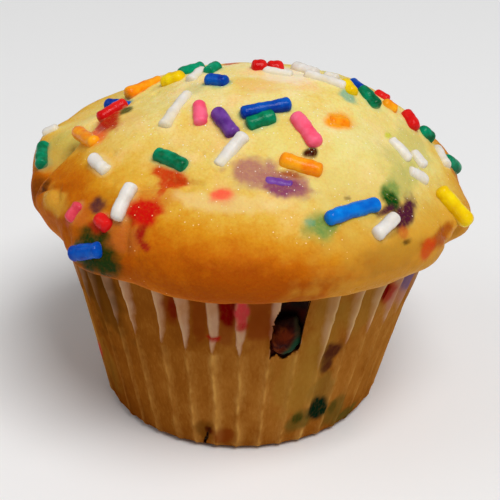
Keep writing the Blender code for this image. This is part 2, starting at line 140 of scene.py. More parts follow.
# Colour, azimuth, rise, heading, length and radius, then the lift of the middle and the dip of the
# forward end in degrees.
SHOWN_SPRINKLES = (
    ("green", -112, 0.782, 105, 4.8, 1.1, 0.3, 0), ("green", -98, 0.87, 160, 3.4, 1.05, 0.25, 0),
    ("yellow", -99, 0.735, 78, 4.2, 1.3, 0.25, 0), ("white", -91, 0.82, 152, 4.6, 1.1, -0.15, 0),
    ("blue", -49, 0.85, 15, 4.2, 1.1, 0.3, 0), ("orange", -107, 0.61, 150, 7.6, 1.15, 0.1, 7),
    ("blue", -97, 0.535, 55, 6.2, 1.05, 0.2, 0), ("red", -86, 0.53, 116, 5.6, 1.05, 0.6, 0),
    ("orange", -73.3, 0.431, 13, 8.2, 1.15, 0.55, 8), ("white", -53.8, 0.403, 175, 5, 1.05, 0.05, -9),
    ("white", -98, 0.278, 93, 3, 1, 0, 0), ("green", -85, 0.262, 171, 6.2, 1.05, 0.3, 0),
    ("white", -35.8, 0.331, 96, 6.2, 1.1, 0.45, 0), ("white", -49.6, 0.686, 115, 9.2, 1.1, -0.3, 0),
    ("pink", -33.3, 0.7, 125, 4.8, 1.1, 0.1, 0), ("purple", -16.2, 0.689, 135, 6, 1.15, 0.35, 0),
    ("blue", 8.3, 0.745, 8, 8, 1.08, 0.45, 0), ("green", 4.4, 0.704, 19, 4.7, 1.2, 0.2, 0),
    ("white", -9.3, 0.589, 62, 7, 1.08, 0, -9), ("pink", 25.7, 0.639, 96, 6.8, 1.18, 0.3, 0),
    ("orange", 17.9, 0.526, 151, 6.6, 1.3, 0, 0), ("green", -31, 0.509, 174, 5.8, 1.15, 0.35, 0),
    ("purple", 8.8, 0.476, 164, 4.4, 1, -0.62, 0), ("orange", 47.5, 0.643, 148, 3.6, 1.3, -0.62, 0),
    ("bright_blue", 27.9, 0.345, 5, 9.5, 1.12, 0.5, 0), ("white", 35.6, 0.281, 20, 5.5, 1.08, 0.45, 0),
    ("white", 64.2, 0.468, 83, 4.7, 1.1, -0.15, 0), ("white", 68.5, 0.406, 73, 3.5, 1.15, -0.15, 0),
    ("white", 61.8, 0.373, 125, 4, 1.1, -0.2, 0), ("white", 85.3, 0.323, 22, 5.2, 1.1, 0, 0),
    ("green", 90, 0.262, 120, 4.6, 1.15, 0.25, 0), ("yellow", 65.2, 0.228, 95, 7.6, 1.35, 0.6, 0),
    ("green", 89, 0.403, 115, 3.4, 1.15, 0.3, 0), ("red", 86.3, 0.478, 34, 4, 1.2, 0.35, 0),
    ("orange", 86, 0.558, 95, 2.8, 1, 0.1, 0), ("red", 93, 0.582, 56, 2.8, 0.95, 0.15, 0),
    ("green", 81.8, 0.633, 52, 4.8, 1.15, 0.2, 0), ("blue", 89, 0.672, 28, 3.7, 1.05, 0.25, 0),
    ("yellow", 81, 0.7, 29, 4, 1.1, 0.25, 0), ("white", 86.5, 0.925, 80, 5.2, 1.05, -0.1, 0),
    ("white", 108, 0.824, 24, 5.4, 1.1, 0.2, 0), ("white", 82.3, 0.775, 74, 7.2, 1.05, -0.05, 0),
    ("white", 96, 0.751, 50, 2.8, 0.9, 0.05, 0), ("red", 130, 0.977, 60, 2.6, 1.15, 0.5, 0),
    ("red", 122, 0.918, 78, 2.9, 1.1, 0.3, 0), ("deep_pink", -49.6, 0.245, 82, 3.3, 1.1, -0.15, 0),
    ("red", -38.9, 0.257, 166, 3.2, 1.1, 0.15, 0), ("blue", -40.8, 0.165, 23, 5.8, 1.2, 0.3, 0),
)
BACK_SPRINKLES = 12
BACK_FROM_AZIMUTH = 132
BACK_LOWEST_RISE = 0.2
BACK_TOP_RISES = (0.24, 0.42)
BACK_LENGTHS = (3.6, 7.8)
BACK_RADIUS = 1.1
BACK_LIFTS = (-0.2, 0.4)
BACK_DIPS = (-7, 7)
PLACES_TRIED = 40
SPRINKLE_COLOURS = ("blue", "green", "red", "pink", "orange", "yellow", "purple", "white")
# bright_blue is the blue painted lighter, a lit copy for the sprinkle at azimuth 27.9; deep_pink is the pink
# painted darker, a shaded copy for the one at -49.6.
SPRINKLE_PAINT = {
    "blue": ((0.001, 0.022, 0.28), (0.001, 0.1, 0.5)),
    "bright_blue": ((0.001, 0.11, 0.54), (0.001, 0.22, 0.74)),
    "green": ((0.001, 0.085, 0.024), (0.001, 0.32, 0.155)),
    "red": ((0.6, 0.003, 0.004), (0.8, 0.02, 0.015)), "pink": ((0.9, 0.065, 0.14), (0.96, 0.15, 0.26)),
    "deep_pink": ((0.58, 0.022, 0.045), (0.8, 0.08, 0.12)),
    "orange": ((0.9, 0.19, 0.001), (0.98, 0.42, 0.01)),
    "yellow": ((0.82, 0.49, 0.001), (0.93, 0.69, 0.003)),
    "purple": ((0.09, 0.02, 0.2), (0.19, 0.06, 0.35)), "white": ((0.7, 0.65, 0.58), (0.8, 0.76, 0.71)),
}
# Height above the crust below which a sprinkle takes on its colour, and how much at most.
SOAKED = (0.1, 0.22)
SOAKED_WHITE = (0.9, 0.65)
SOAKED_COLOUR = (0.8, 0.67, 0.34)

# ---------------------------------------------------------------- dyes that ran into the crumb, and painted light and shade
# Colours of the dyes; black, umber and dark_brown also serve as painted shade, golden and cream as painted
# light.
DYE_LIGHT_AND_SHADE_COLOURS = {
    "red": (0.57, 0.006, 0.003), "vermilion": (0.82, 0.125, 0.018), "russet": (0.34, 0.06, 0.003),
    "emerald": (0.03, 0.15, 0.018), "milk": (0.88, 0.77, 0.62), "char": (0.055, 0.006, 0.001),
    "deep_red": (0.34, 0.008, 0.004), "crimson": (0.15, 0.001, 0.001), "rust": (0.17, 0.014, 0.001),
    "umber": (0.05, 0.018, 0.001), "dark_brown": (0.045, 0.012, 0.002), "apricot": (0.58, 0.14, 0.018),
    "blot": (0.92, 0.12, 0.06), "violet": (0.2, 0.115, 0.19), "golden": (0.33, 0.17, 0.022),
    "green_tint": (0.085, 0.075, 0.012), "maroon": (0.04, 0.003, 0.001), "ember": (0.11, 0.012, 0.0012),
    "sea_green": (0.002, 0.045, 0.02), "ash": (0.04, 0.04, 0.018), "soft_red": (0.8, 0.2, 0.1),
    "rose": (0.52, 0.045, 0.045), "orange": (0.92, 0.31, 0.005), "orange_red": (0.6, 0.055, 0.006),
    "brick": (0.47, 0.018, 0.004), "mauve": (0.43, 0.165, 0.135), "purple": (0.24, 0.045, 0.115),
    "deep_purple": (0.07, 0.008, 0.028), "prune": (0.09, 0.02, 0.026), "sage": (0.42, 0.42, 0.11),
    "straw": (0.75, 0.74, 0.3), "ochre": (0.64, 0.33, 0.035), "bottle": (0.001, 0.055, 0.004),
    "plum": (0.07, 0.016, 0.007), "green": (0.16, 0.28, 0.055), "deep_green": (0.001, 0.014, 0.006),
    "olive": (0.012, 0.033, 0.003), "teal": (0.06, 0.36, 0.28), "lime": (0.62, 0.6, 0.06),
    "yellow": (0.9, 0.66, 0.05), "peach": (0.88, 0.48, 0.18), "cream": (0.88, 0.7, 0.34),
    "brown": (0.13, 0.045, 0.004), "black": (0.01, 0.004, 0.003),
}
# Dye, azimuth, rise, half-width across, half-width along the rise, turn (degrees) and strength.
CRUST_STAINS_LIGHT_AND_SHADE = (
    ("straw", 54, 0.47, 24, 9.5, 0, 0.32), ("sage", 48, 0.26, 20, 3.5, 0, 0.16),
    ("sage", -84, 0.315, 4.5, 4, 0, 0.5), ("ochre", 50, 0.13, 22, 10, 0, 0.62),
    # The cream row at azimuth -8 is a painted highlight on a lit crest.
    ("cream", -8, 0.4, 9, 1.7, 0, 0.42), ("sage", 52, 0.385, 6.5, 2.4, 8, 0.55),
    ("sage", 69, 0.44, 9, 4, 0, 0.42), ("milk", 98, 0.88, 6, 4.5, 0, 0.6),
    ("peach", 5, 0.88, 3.6, 2, 0, 0.45), ("ochre", -59.5, 0.237, 4, 2, 0, 0.8),
    ("olive", -38.3, 0.168, 4.5, 4, 0, 1), ("apricot", -32, 0.24, 2.8, 2.6, 0, 0.8),
    ("apricot", -47.5, 0.245, 2.8, 1.8, 0, 0.6), ("apricot", -29, 0.385, 3.6, 2.4, 0, 0.45),
    ("red", -29.7, 0.326, 2.9, 2.5, 0, 1), ("red", -26.6, 0.338, 1.2, 0.9, 20, 0.9),
    ("deep_red", -28.4, 0.264, 0.85, 1.5, 0, 0.95), ("deep_red", -26.5, 0.235, 1.5, 0.55, -28, 0.9),
    ("orange_red", -28.3, 0.463, 3.7, 1.2, 0, 1), ("orange_red", -28.2, 0.438, 2, 1.1, 0, 0.95),
    ("orange_red", -27.8, 0.41, 0.6, 1.6, 0, 0.85), ("vermilion", -72, 0.468, 4.3, 1.8, 0, 0.95),
    ("red", -88, 0.505, 5, 2.6, 0, 0.95), ("brick", -78, 0.512, 5.2, 2.3, 0, 1),
    ("prune", -44, 0.293, 1.7, 1.4, 0, 0.9), ("red", -40, 0.24, 1.8, 0.9, 0, 0.7),
    ("rose", -51, 0.225, 0.9, 1.6, 20, 0.5), ("soft_red", -9.3, 0.43, 2.2, 1.8, 0, 0.45),
    ("blot", -9.2, 0.43, 1.65, 1.15, 12, 1), ("mauve", 0.5, 0.512, 3.9, 3.1, -12, 0.9),
    ("mauve", 11.5, 0.462, 4.6, 2.2, -14, 0.9), ("purple", 10.6, 0.457, 3.3, 1.7, -10, 0.95),
    # The russet row at azimuth 13.4 is painted shadow under the orange sprinkle, mixed with its orange bleed.
    ("russet", 13.4, 0.498, 2, 0.6, -22, 0.8), ("green", 18, 0.322, 3, 2.3, 10, 0.55),
    ("green", 18, 0.32, 2, 1.7, 10, 0.85), ("teal", 15.6, 0.335, 0.9, 0.7, 0, 0.45),
    ("green", 45.8, 0.374, 2.4, 1.7, 15, 0.8), ("lime", 66.5, 0.523, 1.4, 0.5, 0, 0.95),
    ("bottle", 43, 0.35, 1.7, 2.1, 0, 1), ("emerald", 42, 0.378, 1.1, 0.6, 0, 0.6),
    ("deep_purple", 45.2, 0.3, 4.7, 1.65, 24, 1), ("deep_purple", 38.9, 0.326, 2, 0.75, 12, 0.95),
    ("plum", 36.5, 0.262, 2.6, 0.8, 0, 0.35), ("apricot", 40.7, 0.25, 1.1, 0.9, 0, 0.75),
    ("dark_brown", 40.6, 0.222, 1, 0.35, 0, 0.75), ("dark_brown", 29.5, 0.396, 0.7, 0.5, 0, 0.55),
    ("char", 23.2, 0.56, 1.25, 0.95, 15, 1), ("orange", 47, 0.642, 2.8, 1.9, 8, 1),
    ("orange", 53, 0.645, 2.6, 2, 0, 0.4), ("teal", 72, 0.69, 1.6, 1.9, 0, 0.7),
    ("soft_red", 9, 0.84, 3.4, 1, 0, 0.18), ("green", -62, 0.79, 2.4, 2, 0, 0.25),
    ("russet", 53, 0.19, 5.6, 1.2, 0, 0.9), ("orange_red", 46.6, 0.183, 2.1, 1.2, 15, 0.85),
    # The dark_brown row at azimuth -68.5 is painted shade in a recess.
    ("dark_brown", -68.5, 0.235, 1, 1.8, 10, 0.8), ("green", -84, 0.4, 1.2, 1.6, 0, 0.4),
    ("teal", -93, 0.475, 1.4, 0.9, 0, 0.7), ("bottle", -81, 0.575, 1.9, 1.2, 0, 0.9),
    # The four umber rows are painted shade; the one at azimuth 35 darkens the lip's lower edge at the right.
    ("umber", -74.5, 0.195, 3.2, 2.4, 0, 0.52), ("umber", 35, 0.197, 7.5, 2.6, 0, 0.22),
    ("umber", -33.5, 0.235, 4, 2.6, 0, 0.17), ("umber", -40.7, 0.32, 3, 2.4, 0, 0.13),
)
BACK_STAINS = 15
BACK_STAINS_FROM = 122
BACK_STAIN_DYES = ("red", "soft_red", "teal", "green", "mauve", "purple", "orange", "olive", "plum")
BACK_STAIN_SIZES = (0.9, 3.2)
BACK_STAIN_RISES = (0.12, 0.85)
BACK_STAIN_TURNS = (-40, 40)
BACK_STRENGTH = 0.75
# How each colour bleeds into the crust beside it: dye, strength and reach.
BLEED = {
    "blue": ("teal", 0.62, 0.8), "bright_blue": ("green", 0.25, 0.5), "green": ("teal", 0.4, 0.8),
    "red": ("soft_red", 0.6, 0.7), "pink": ("peach", 0.35, 0.7), "deep_pink": ("peach", 0.35, 0.7),
    "orange": ("orange", 0.4, 0.9), "yellow": ("yellow", 0.4, 0.6), "purple": ("mauve", 0.45, 0.7),
    "white": ("cream", 0.45, 0.8),
}
BLEED_INSIDE = -0.1
BLEED_GRAIN = 1.1
BLEED_RAGGED = 0.25
BLEED_SEED = 50
STAIN_EDGE = (1.25, 0.55)
STAIN_RAGGED = 0.27
STAIN_LIMIT = 2.4
STAIN_GRAIN = 1.5
STAIN_FINE_GRAIN = STAIN_GRAIN / 2.6
CRUST_STAIN_SEED = 97
# Browning of the crust by rise, and patches: azimuth, rise, amount, half-width across and along.
BROWN_RISES = (0, 0.05, 0.1, 0.15, 0.2, 0.27, 0.34, 0.42, 0.52, 0.66, 0.8, 1)
BROWN_LEVELS = (0.45, 0.62, 0.84, 0.92, 0.88, 0.68, 0.48, 0.3, 0.2, 0.15, 0.02, 0)
BROWN_PATCHES = (
    (-58, 0.33, 0.24, 8, 5), (-74, 0.22, 0.1, 4, 5), (-62, 0.19, -0.1, 6, 3), (-68, 0.74, -0.08, 4, 4),
    (-18, 0.08, -0.1, 4, 4), (6, 0.12, 0.08, 6, 3.5), (16, 0.26, -0.16, 6, 4), (-100, 0.3, -0.28, 9, 8),
    (-18, 0.39, 0.07, 6, 3), (-8, 0.14, 0.1, 20, 5), (48, 0.2, -0.17, 13, 8), (42, 0.27, -0.1, 22, 4),
    (-6, 0.46, 0.06, 14, 4), (-52, 0.5, 0.05, 10, 4), (-20, 0.61, 0.04, 9, 5), (2, 0.37, 0.03, 10, 3),
    (68, 0.28, -0.22, 8, 7), (55, 0.52, -0.1, 12, 7), (4, 0.91, 0.16, 9, 4), (160, 0.35, 0.12, 14, 8),
    (-150, 0.3, -0.12, 12, 8),
)
BROWN_MOTTLE = ((7, 0.07), (2.8, 0.05))
BROWN_SEED = 30
FOOT_BROWNING = 0.5
SIDE_BROWNING = 0.55
# Cover of dye from where the crust starts to shine to where it shines most.
SHINY_COVERS = (0.35, 0.9)
# Crust colour by browning; the palest stops, at the crown's top, also hold a painted sheen.
CRUST_RAMP = (
    (0, (0.87, 0.72, 0.33)), (0.1, (0.835, 0.67, 0.24)), (0.2, (0.8, 0.58, 0.14)),
    (0.4, (0.75, 0.435, 0.05)), (0.6, (0.67, 0.275, 0.01)), (0.8, (0.54, 0.14, 0.002)),
    (1, (0.38, 0.075, 0.001)),
)
# Where the crust is pale, its yellow drifts to greenish and to peachy.
CRUST_GREENISH = (0.8, 0.68, 0.19)
CRUST_PEACHY = (0.9, 0.58, 0.24)
# Painted highlights: the colour of the sugar glints, and a golden one on brown crust.
SUGAR_GLINT = (1, 0.98, 0.9)
SUGAR_GLINT_ON_BROWN = (1, 0.72, 0.32)
CRUMB_SHADE = (0.9, 0.58, 0.22)
# The range that most of a noise lies in.
NOISE_MIDDLE = (0.3, 0.7)
SUGAR_GLINT_COVER = 0.5
SUGAR_GLINT_MOTTLE = 0.3
SUGAR_GLINT_GRAIN = 5
SUGAR_GLINT_SEED = 40
# Patches with more painted sugar glints: azimuth, rise, amount, half-width across and along.
SUGAR_GLINT_PATCHES = (
    (1, 0.51, 0.8, 4, 3.4), (12, 0.46, 0.8, 4.4, 2), (45, 0.3, 0.5, 4, 1.5), (-30, 0.32, 0.2, 3, 3),
    (18, 0.31, 0.5, 3, 2.4), (-12, 0.66, 0.36, 18, 8), (0, 0.22, -0.25, 40, 8), (60, 0.6, -0.3, 10, 8),
)

# ---------------------------------------------------------------- the torn place and the pit behind it
TEAR_OUTLINE = (
    (9, 36), (8.9, 30.8), (7.6, 28.4), (7.3, 23.4), (7.6, 20.6), (9.5, 21.5), (12, 20.2), (14.6, 21.3),
    (16.4, 22.4), (16.7, 26), (16.9, 29), (16.9, 36),
)
TEAR_DEPTHS = (26, 36)
TEAR_STEP = 0.45
TEAR_RAGGED = 0.1
NICK_OUTLINE = ((-14.5, 0.5), (-12.9, 3.2), (-12.4, 4.6), (-13.5, 3.6), (-15.2, 0.9))
NICK_DEPTHS = (20, 28)
PIT_AZIMUTH = 12
PIT_HEIGHT = 27.6
PIT_HALF_SIZES = (3, 2.3, 6.6)
TORN_HALF_WIDTH = 3.4
TORN_EDGE = (1.15, 0.95)
TORN_FADE = 1.5
NICK_FADE = 1.2
TORN_BOTTOM = 20
# How strongly the painted shadow and the maroon are laid in the pit, beyond full cover.
PIT_FULL = 1.35
PIT_SHINE = 0.2
# Rises over which the painted shadow on the crust's underside over the torn place fades out.
UNDER_LIP_RISES = (0.1, 0.04)
MAROON_FROM = (12, 13.5)
MAROON_PATCHES = (-0.3, 0.4)
MAROON_BELOW = (30, 26)
MAROON_GRAIN = 1.3
MAROON_SEED = 51
LUMP_AZIMUTH = 12.2
LUMP_HEIGHT = 24.7
LUMP_HALF_SIZES = (2.55, 1.1, 3.3)
LUMP_SINK = 0.75
LUMP_SIDES = 40
LUMP_LEVELS = 28
LUMP_NOISE = ((1.6, 0.16), (0.7, 0.06))
LUMP_SEED = 80
LUMP_RAMP = ((0.35, (0.02, 0.001, 0.001)), (0.52, (0.065, 0.007, 0.001)), (0.68, (0.14, 0.024, 0.002)))

# ---------------------------------------------------------------- paper
FLUTE_COLUMNS = 24
PAPER_ROWS = 56
PAPER_FOOT_ROWS = 7
PAPER_FLOOR_RINGS = (0.35, 0.7, 0.9)
SHEET_THICKNESS = 0.14
SHEET_UNEVENNESS = 0.05
SHEET_GRAIN = 3
SHEET_UNEVEN_FROM = (2, 6)
FLUTE_DEPTH = 1.15
# How far apart the noise along neighbouring flutes is read.
LINE_SPACING = 7
POINT_HEIGHTS = (FLUTE_POINT_HEIGHT - 0.5, FLUTE_POINT_HEIGHT + 0.5)
# For the front flutes one by one, and the range for those at the back: at the rim, the reach to the
# sharp outer side and to the soft inner side; below, the strength of the ridge; the lean to the front;
# the gleam; the height of the point; and the depth.
FLUTE_TRAITS = (
    ((1.5, 2, 1.2, 0.6, 0.4, 1.3, 0.75, 1, 1, 0.5, 0.8, 0.35, 0.1, 0.7, 1.2), (0.8, 1.9)),
    ((1.2, 0.8, 1.2, 1.3, 1.45, 1.15, 1.25, 1, 0.55, 0.9, 1.25, 1.5, 1.75, 1.8, 1.4), (1, 1.6)),
    ((0.15, 0.15, 0.35, 0.35, 0.4, 0.6, 1, 0.8, 0.75, 0.85, 0.95, 0.6, 0.5, 0.3, 0.3), (0.3, 0.9)),
    ((1.2, 1.05, 0.6, 0.37, 0.2, 0.15, 0.1, 0, 0, 0, 0.1, 0.3, 0.3, 0.95, 1.2), (0, 0)),
    ((0, 0, 0.3, 0.5, 0.4, 0.3, 0.2, 0.2, 0.3, 0.3, 1, 1.2, 1, 0.5, 0.3), (0.1, 0.8)),
    ((*[FLUTE_POINT_HEIGHT] * 10, 16, 20.3, *[FLUTE_POINT_HEIGHT] * 3), POINT_HEIGHTS),
    ((), (0.88, 1.08)),
)
GLEAM_REACH = 0.5
INNER_SWELL = 3
OUTER_SWELLS = (3, 1)
OUTER_SWELL_FROM = (math.radians(12), math.radians(20))
SHARP_EDGE = 0.13
OPEN_BY = 0.06
STEEP_FROM = 0.3
STEEP_TO = 0.25
GENTLE_FROM = 0.6
GENTLE_TO = 0.15
FLUTE_GROWTH = 0.8
SOFT_BEFORE = 0.3
SOFT_EDGES = (0.45, 1.1)
SOFT_FROM = (math.radians(10), math.radians(30))
FULL_DRIFT = math.radians(45)
SIDE_CHANGE = math.radians(3)
RIDGE_DRIFT = 0.05
RIDGE_DEPTH = 0.3
RIDGE_HALF_WIDTH = 0.42
RIDGE_LINE = 0.22
RIDGE_BAND = 0.85
RIDGE_STRENGTH = 0.75
RIDGE_COVER = 0.45
BAND_COVER = 0.42
BAND_PATCHES = 0.3
BAND_GRAIN = 4
BAND_SHIFT = 0.2
RIDGE_WOBBLE = ((3.6, 0.16), (1.3, 0.15))
RIDGE_PATCHES = ((2.5, 0.75), (0.9, 0.6))
RIDGE_SEED = 61
# Dye, azimuth, height, half-width across and along, turn (degrees) and strength.
PAPER_STAINS_LIGHT_AND_SHADE = (
    # The umber rows at azimuths -54 and -51.5 are painted shadow under the crown's lip on the left; the
    # golden rows at 25 and 37 are painted light under the lip on the right.
    ("umber", -54, 30.5, 7.5, 13.5, 0, 0.6), ("golden", 25, 26, 3.2, 10, 0, 0.4),
    ("golden", 37, 28, 5, 6, 0, 0.4), ("golden", -62, 9, 3.5, 5, 0, 0.3),
    ("umber", -51.5, 29.5, 2, 3, 0, 0.45), ("golden", 20.5, 13.5, 2, 6, 0, 0.35),
    ("crimson", -5.7, 30.5, 1.4, 4.2, 0, 1), ("crimson", -5.9, 26, 1.3, 3.2, 0, 0.4),
    ("rust", 3.6, 28.8, 2.3, 6, 0, 0.66), ("rust", -14.2, 28.5, 1.45, 5.8, 0, 0.55),
    ("rose", -1.7, 30.4, 1, 4.2, 0, 1), ("deep_red", -1.4, 27.3, 1.1, 0.8, 0, 0.6),
    ("deep_red", -10.1, 24.5, 1.15, 0.55, 0, 1), ("rust", -22.6, 28.6, 1.3, 3.2, 0, 0.6),
    ("crimson", -22.1, 28.9, 0.75, 1.9, 0, 0.7), ("green_tint", 29, 11.5, 2.3, 3.6, 0, 0.4),
    ("plum", 29.2, 19.8, 1.75, 2.3, -28, 1), ("plum", 28.2, 17, 1.3, 2.3, 0, 0.95),
    ("deep_green", 28.7, 7.3, 2, 2.9, 18, 1), ("green_tint", 21.8, 5.4, 2.2, 2.7, 0, 0.65),
    ("olive", 20.9, 6.1, 0.9, 1.3, 0, 0.75), ("green_tint", 38.3, 5, 2.2, 3.2, -20, 0.62),
    ("olive", 36.8, 6.4, 1.1, 1.7, 0, 0.5), ("green_tint", 46, 2.4, 3.2, 1.5, 0, 0.8),
    ("mauve", 51.5, 27.5, 2, 2.8, 0, 0.5), ("deep_red", 48, 28.2, 1.2, 2.2, 0, 0.75),
    ("crimson", 46.4, 29, 0.7, 2.2, 0, 0.95), ("mauve", 61, 26.2, 3.2, 2.8, 0, 0.5),
    ("violet", 59.6, 28.8, 2.6, 2.4, 0, 1), ("rust", -64, 26, 0.8, 2.4, 0, 0.4),
    ("brown", -14.3, 4.2, 1.6, 2.2, 0, 0.7), ("char", -12.7, 4.2, 0.55, 0.9, 25, 0.95),
    ("rust", -7, 3.2, 1.7, 1.9, 0, 0.6), ("rust", 7.4, 27, 1.1, 5, 0, 0.1),
    ("golden", 18.5, 15, 4.5, 8.5, 0, 0.38),
)
BACK_PAPER_STAINS = 13
BACK_PAPER_DYES = ("deep_red", "rose", "plum", "deep_green", "olive", "purple", "red", "orange_red")
BACK_PAPER_FROM = 66
BACK_PAPER_HEIGHTS = (3, 30)
BACK_PAPER_WIDTHS = (0.8, 1.8)
BACK_PAPER_LENGTHS = (1.2, 3.2)
BACK_PAPER_TURNS = (-8, 8)
PAPER_STAIN_EDGE = (1.25, 0.6)
PAPER_STAIN_SEED = 300
TORN_DYE = ("dark_brown", 0.9)
# Azimuth, height and reach of the painted shadow behind the nick.
NICK_SHADOW = (-13.6, 2.6, 2.2)
# Paper where it clings to the cake, from soaked and brown to pale, and how pale it is by azimuth.
PAPER_RAMP = (
    (0, (0.2, 0.052, 0.004)), (0.35, (0.27, 0.084, 0.008)), (0.7, (0.37, 0.138, 0.02)),
    (1, (0.47, 0.21, 0.045)),
)
PAPER_TONES = (
    (-180, 0.42), (-125, 0.34), (-75, 0.34), (-61, 0.17), (-51, 0.27), (-43, 0.28), (-33.5, 0.38),
    (-27, 0.44), (-23.5, 0.38), (-14.5, 0.4), (-6, 0.48), (3, 0.5), (12, 0.5), (20.5, 0.49), (29.5, 0.5),
    (39, 0.58), (48, 0.6), (57, 0.74), (75, 0.58), (125, 0.52), (180, 0.42),
)
PAPER_MOTTLE = ((7, 0.14), (2.4, 0.13), (0.9, 0.09))
PAPER_SEED = 90
PAPER_STRETCH = (1, 1, 0.6)
SOAKED_FOOT = 0.26
SOAKED_BELOW = 9
MIDDLE_TONE = 0.3
FIBRE_SCALE = (1, 1, 0.3)
CREASE_SCALE = (0.35, 0.35, 1)
PAPER_WHITE = ((0.44, 0.21, 0.095), (0.5, 0.28, 0.16))
PAPER_RIDGE = (0.58, 0.29, 0.065)
PAPER_GLEAM = (0.78, 0.52, 0.27)

# ---------------------------------------------------------------- the photograph's camera
PHOTO_SIZE = 500
SENSOR = 36
FOCAL_PIXELS = 1241.1
AIM_PIXEL = (240.8, 238.5)
AIM_HEIGHT = 26.88
CAMERA_DISTANCE = 211.2
CAMERA_ELEVATION = math.radians(27.12)
CLIP_START = 10

# ---------------------------------------------------------------- the studio
FLOOR_REACH = 3000
FLOOR_COLOUR = (0.88, 0.88, 0.88)
FLOOR_ROUGHNESS = 0.8
# Name, azimuth, elevation, width and power of each light.
LIGHTS = (("key", 34, 62, 800, 18.5), ("fill", -85, 40, 900, 3.2))
LIGHT_DISTANCE = 1500
WORLD_STRENGTH = 0.24


# ================================================================ the crown's form, as in the solids
def place(azimuth, radius, height):
    """The point at this azimuth (radians), with the cup's lean and the crown's tip."""
    share = np.clip(height / CUP_HEIGHT, 0, 1)
    x = radius * np.sin(azimuth) + RIM_LEAN * share + math.tan(CROWN_TIP) * np.maximum(height - CUP_HEIGHT, 0)
    z = height - math.tan(CROWN_TIP) * x * share
    return np.stack(np.broadcast_arrays(x, -radius * np.cos(azimuth), z), axis=-1)


def smooth_line(points, steps):
    """A Catmull-Rom curve through the points, mirrored in the axis at its last one."""
    inner = np.array(points, float)
    knots = np.vstack([2 * inner[0] - inner[1], inner, inner[-2] * (-1, 1)])
    t = np.linspace(0, 1, steps, endpoint=False)[:, None]
    runs = []
    for a, b, c, d in zip(knots[:-3], knots[1:-2], knots[2:-1], knots[3:]):
        bend = (2 * a - 5 * b + 4 * c - d) * t**2 + (3 * b - a - 3 * c + d) * t**3
        runs.append(b + (c - a) * t / 2 + bend / 2)
    return np.vstack([*runs, inner[-1:]])


CROWN_CURVE = smooth_line(CROWN_OUTLINE, OUTLINE_STEPS)
CURVE_LENGTHS = np.concatenate([[0], np.cumsum(np.linalg.norm(np.diff(CROWN_CURVE, axis=0), axis=1))])
CROWN_LENGTH = CURVE_LENGTHS[-1]
CURVE_SLOPES = np.gradient(CROWN_CURVE, CURVE_LENGTHS, axis=0)


def crown_outline_at(rise):
    """Radius, height and outward direction of the plain outline at each rise."""
    columns = (*CROWN_CURVE.T, *CURVE_SLOPES.T)
    radius, height, run, climb = (np.interp(rise * CROWN_LENGTH, CURVE_LENGTHS, values) for values in columns)
    steep = np.hypot(run, climb)
    return radius, height, climb / steep, -run / steep


def turn_between(azimuth, other):
    """The signed angle from other to azimuth, within half a turn."""
    return (azimuth - other + math.pi) % (2 * math.pi) - math.pi


def crown_offsets(azimuth, rise, radius, at, at_rise):
    """How far sideways and up the slope each place is from the one at this azimuth (degrees) and rise."""
    return turn_between(azimuth, math.radians(at)) * radius, (rise - at_rise) * CROWN_LENGTH


def bumps_height(rows, azimuth, rise, radius):
    total = 0
    for at, at_rise, height, across, along in rows:
        sideways, upward = crown_offsets(azimuth, rise, radius, at, at_rise)
        total = total + height * np.exp(-((sideways / across) ** 2) - (upward / along) ** 2)
    return total


def crease_depth(rows, azimuth, rise, radius):
    total = 0
    for depth, half_width, route in rows:
        nearest = np.inf
        for (start_at, start_rise), (end_at, end_rise) in zip(route, route[1:]):
            x, y = crown_offsets(azimuth, rise, radius, start_at, start_rise)
            end_x = math.radians(end_at - start_at) * radius
            end_y = (end_rise - start_rise) * CROWN_LENGTH
            share = np.clip((x * end_x + y * end_y) / (end_x**2 + end_y**2 + TINY), 0, 1)
            nearest = np.minimum(nearest, np.hypot(x - share * end_x, y - share * end_y))
        total = total + depth * np.exp(-((nearest / half_width) ** 2))
    return total


def wave_set():
    """Long waves in every direction, drawn once, that make the crust uneven."""
    draw = random.Random(SEED)
    for _ in range(WAVE_COUNT):
        direction = np.array([draw.gauss(0, 1) for _ in range(3)])
        direction *= 2 * math.pi / draw.uniform(*WAVE_LENGTHS) / np.linalg.norm(direction)
        yield direction, draw.uniform(0, 2 * math.pi)


WAVES = list(wave_set())


def crown_surface(azimuth, rise, finer=0):
    """The points of the crown's surface, raised by finer along its outline's outward direction."""
    radius, height, out_run, out_climb = crown_outline_at(rise)
    plain = place(azimuth, radius, height)
    waves = sum(np.sin(plain @ direction + phase) for direction, phase in WAVES)
    relief = bumps_height(SWELLINGS, azimuth, rise, radius) - crease_depth(CREASES, azimuth, rise, radius)
    relief = relief + UNEVENNESS * waves * math.sqrt(2 / WAVE_COUNT)
    relief = relief * np.interp(rise, RELIEF_FADE_RISES, (0, 1)) + finer
    return place(azimuth, radius + relief * out_run, height + relief * out_climb)


def surface_frame(azimuth, rise):
    """A point on the crown, with its sideways, up-the-slope and outward directions."""
    here, right, above = crown_surface(azimuth + np.array([0, NEARBY, 0]), rise + np.array([0, 0, NEARBY]))
    outward = np.cross(right - here, above - here)
    outward /= np.linalg.norm(outward)
    sideways = (right - here) / np.linalg.norm(right - here)
    return here, sideways, np.cross(outward, sideways), outward


def cup_radius(height):
    """Radius of the middle of the paper's flat panels."""
    share = (height - CUP_FOOT_CURVE) / (CUP_HEIGHT - CUP_FOOT_CURVE)
    return CUP_FOOT_RADIUS + (CUP_RIM_RADIUS - CUP_FOOT_RADIUS) * share


def cup_offset(azimuth, height, at):
    """How far sideways on the paper each place is from this azimuth (degrees)."""
    return turn_between(azimuth, math.radians(at)) * cup_radius(height)


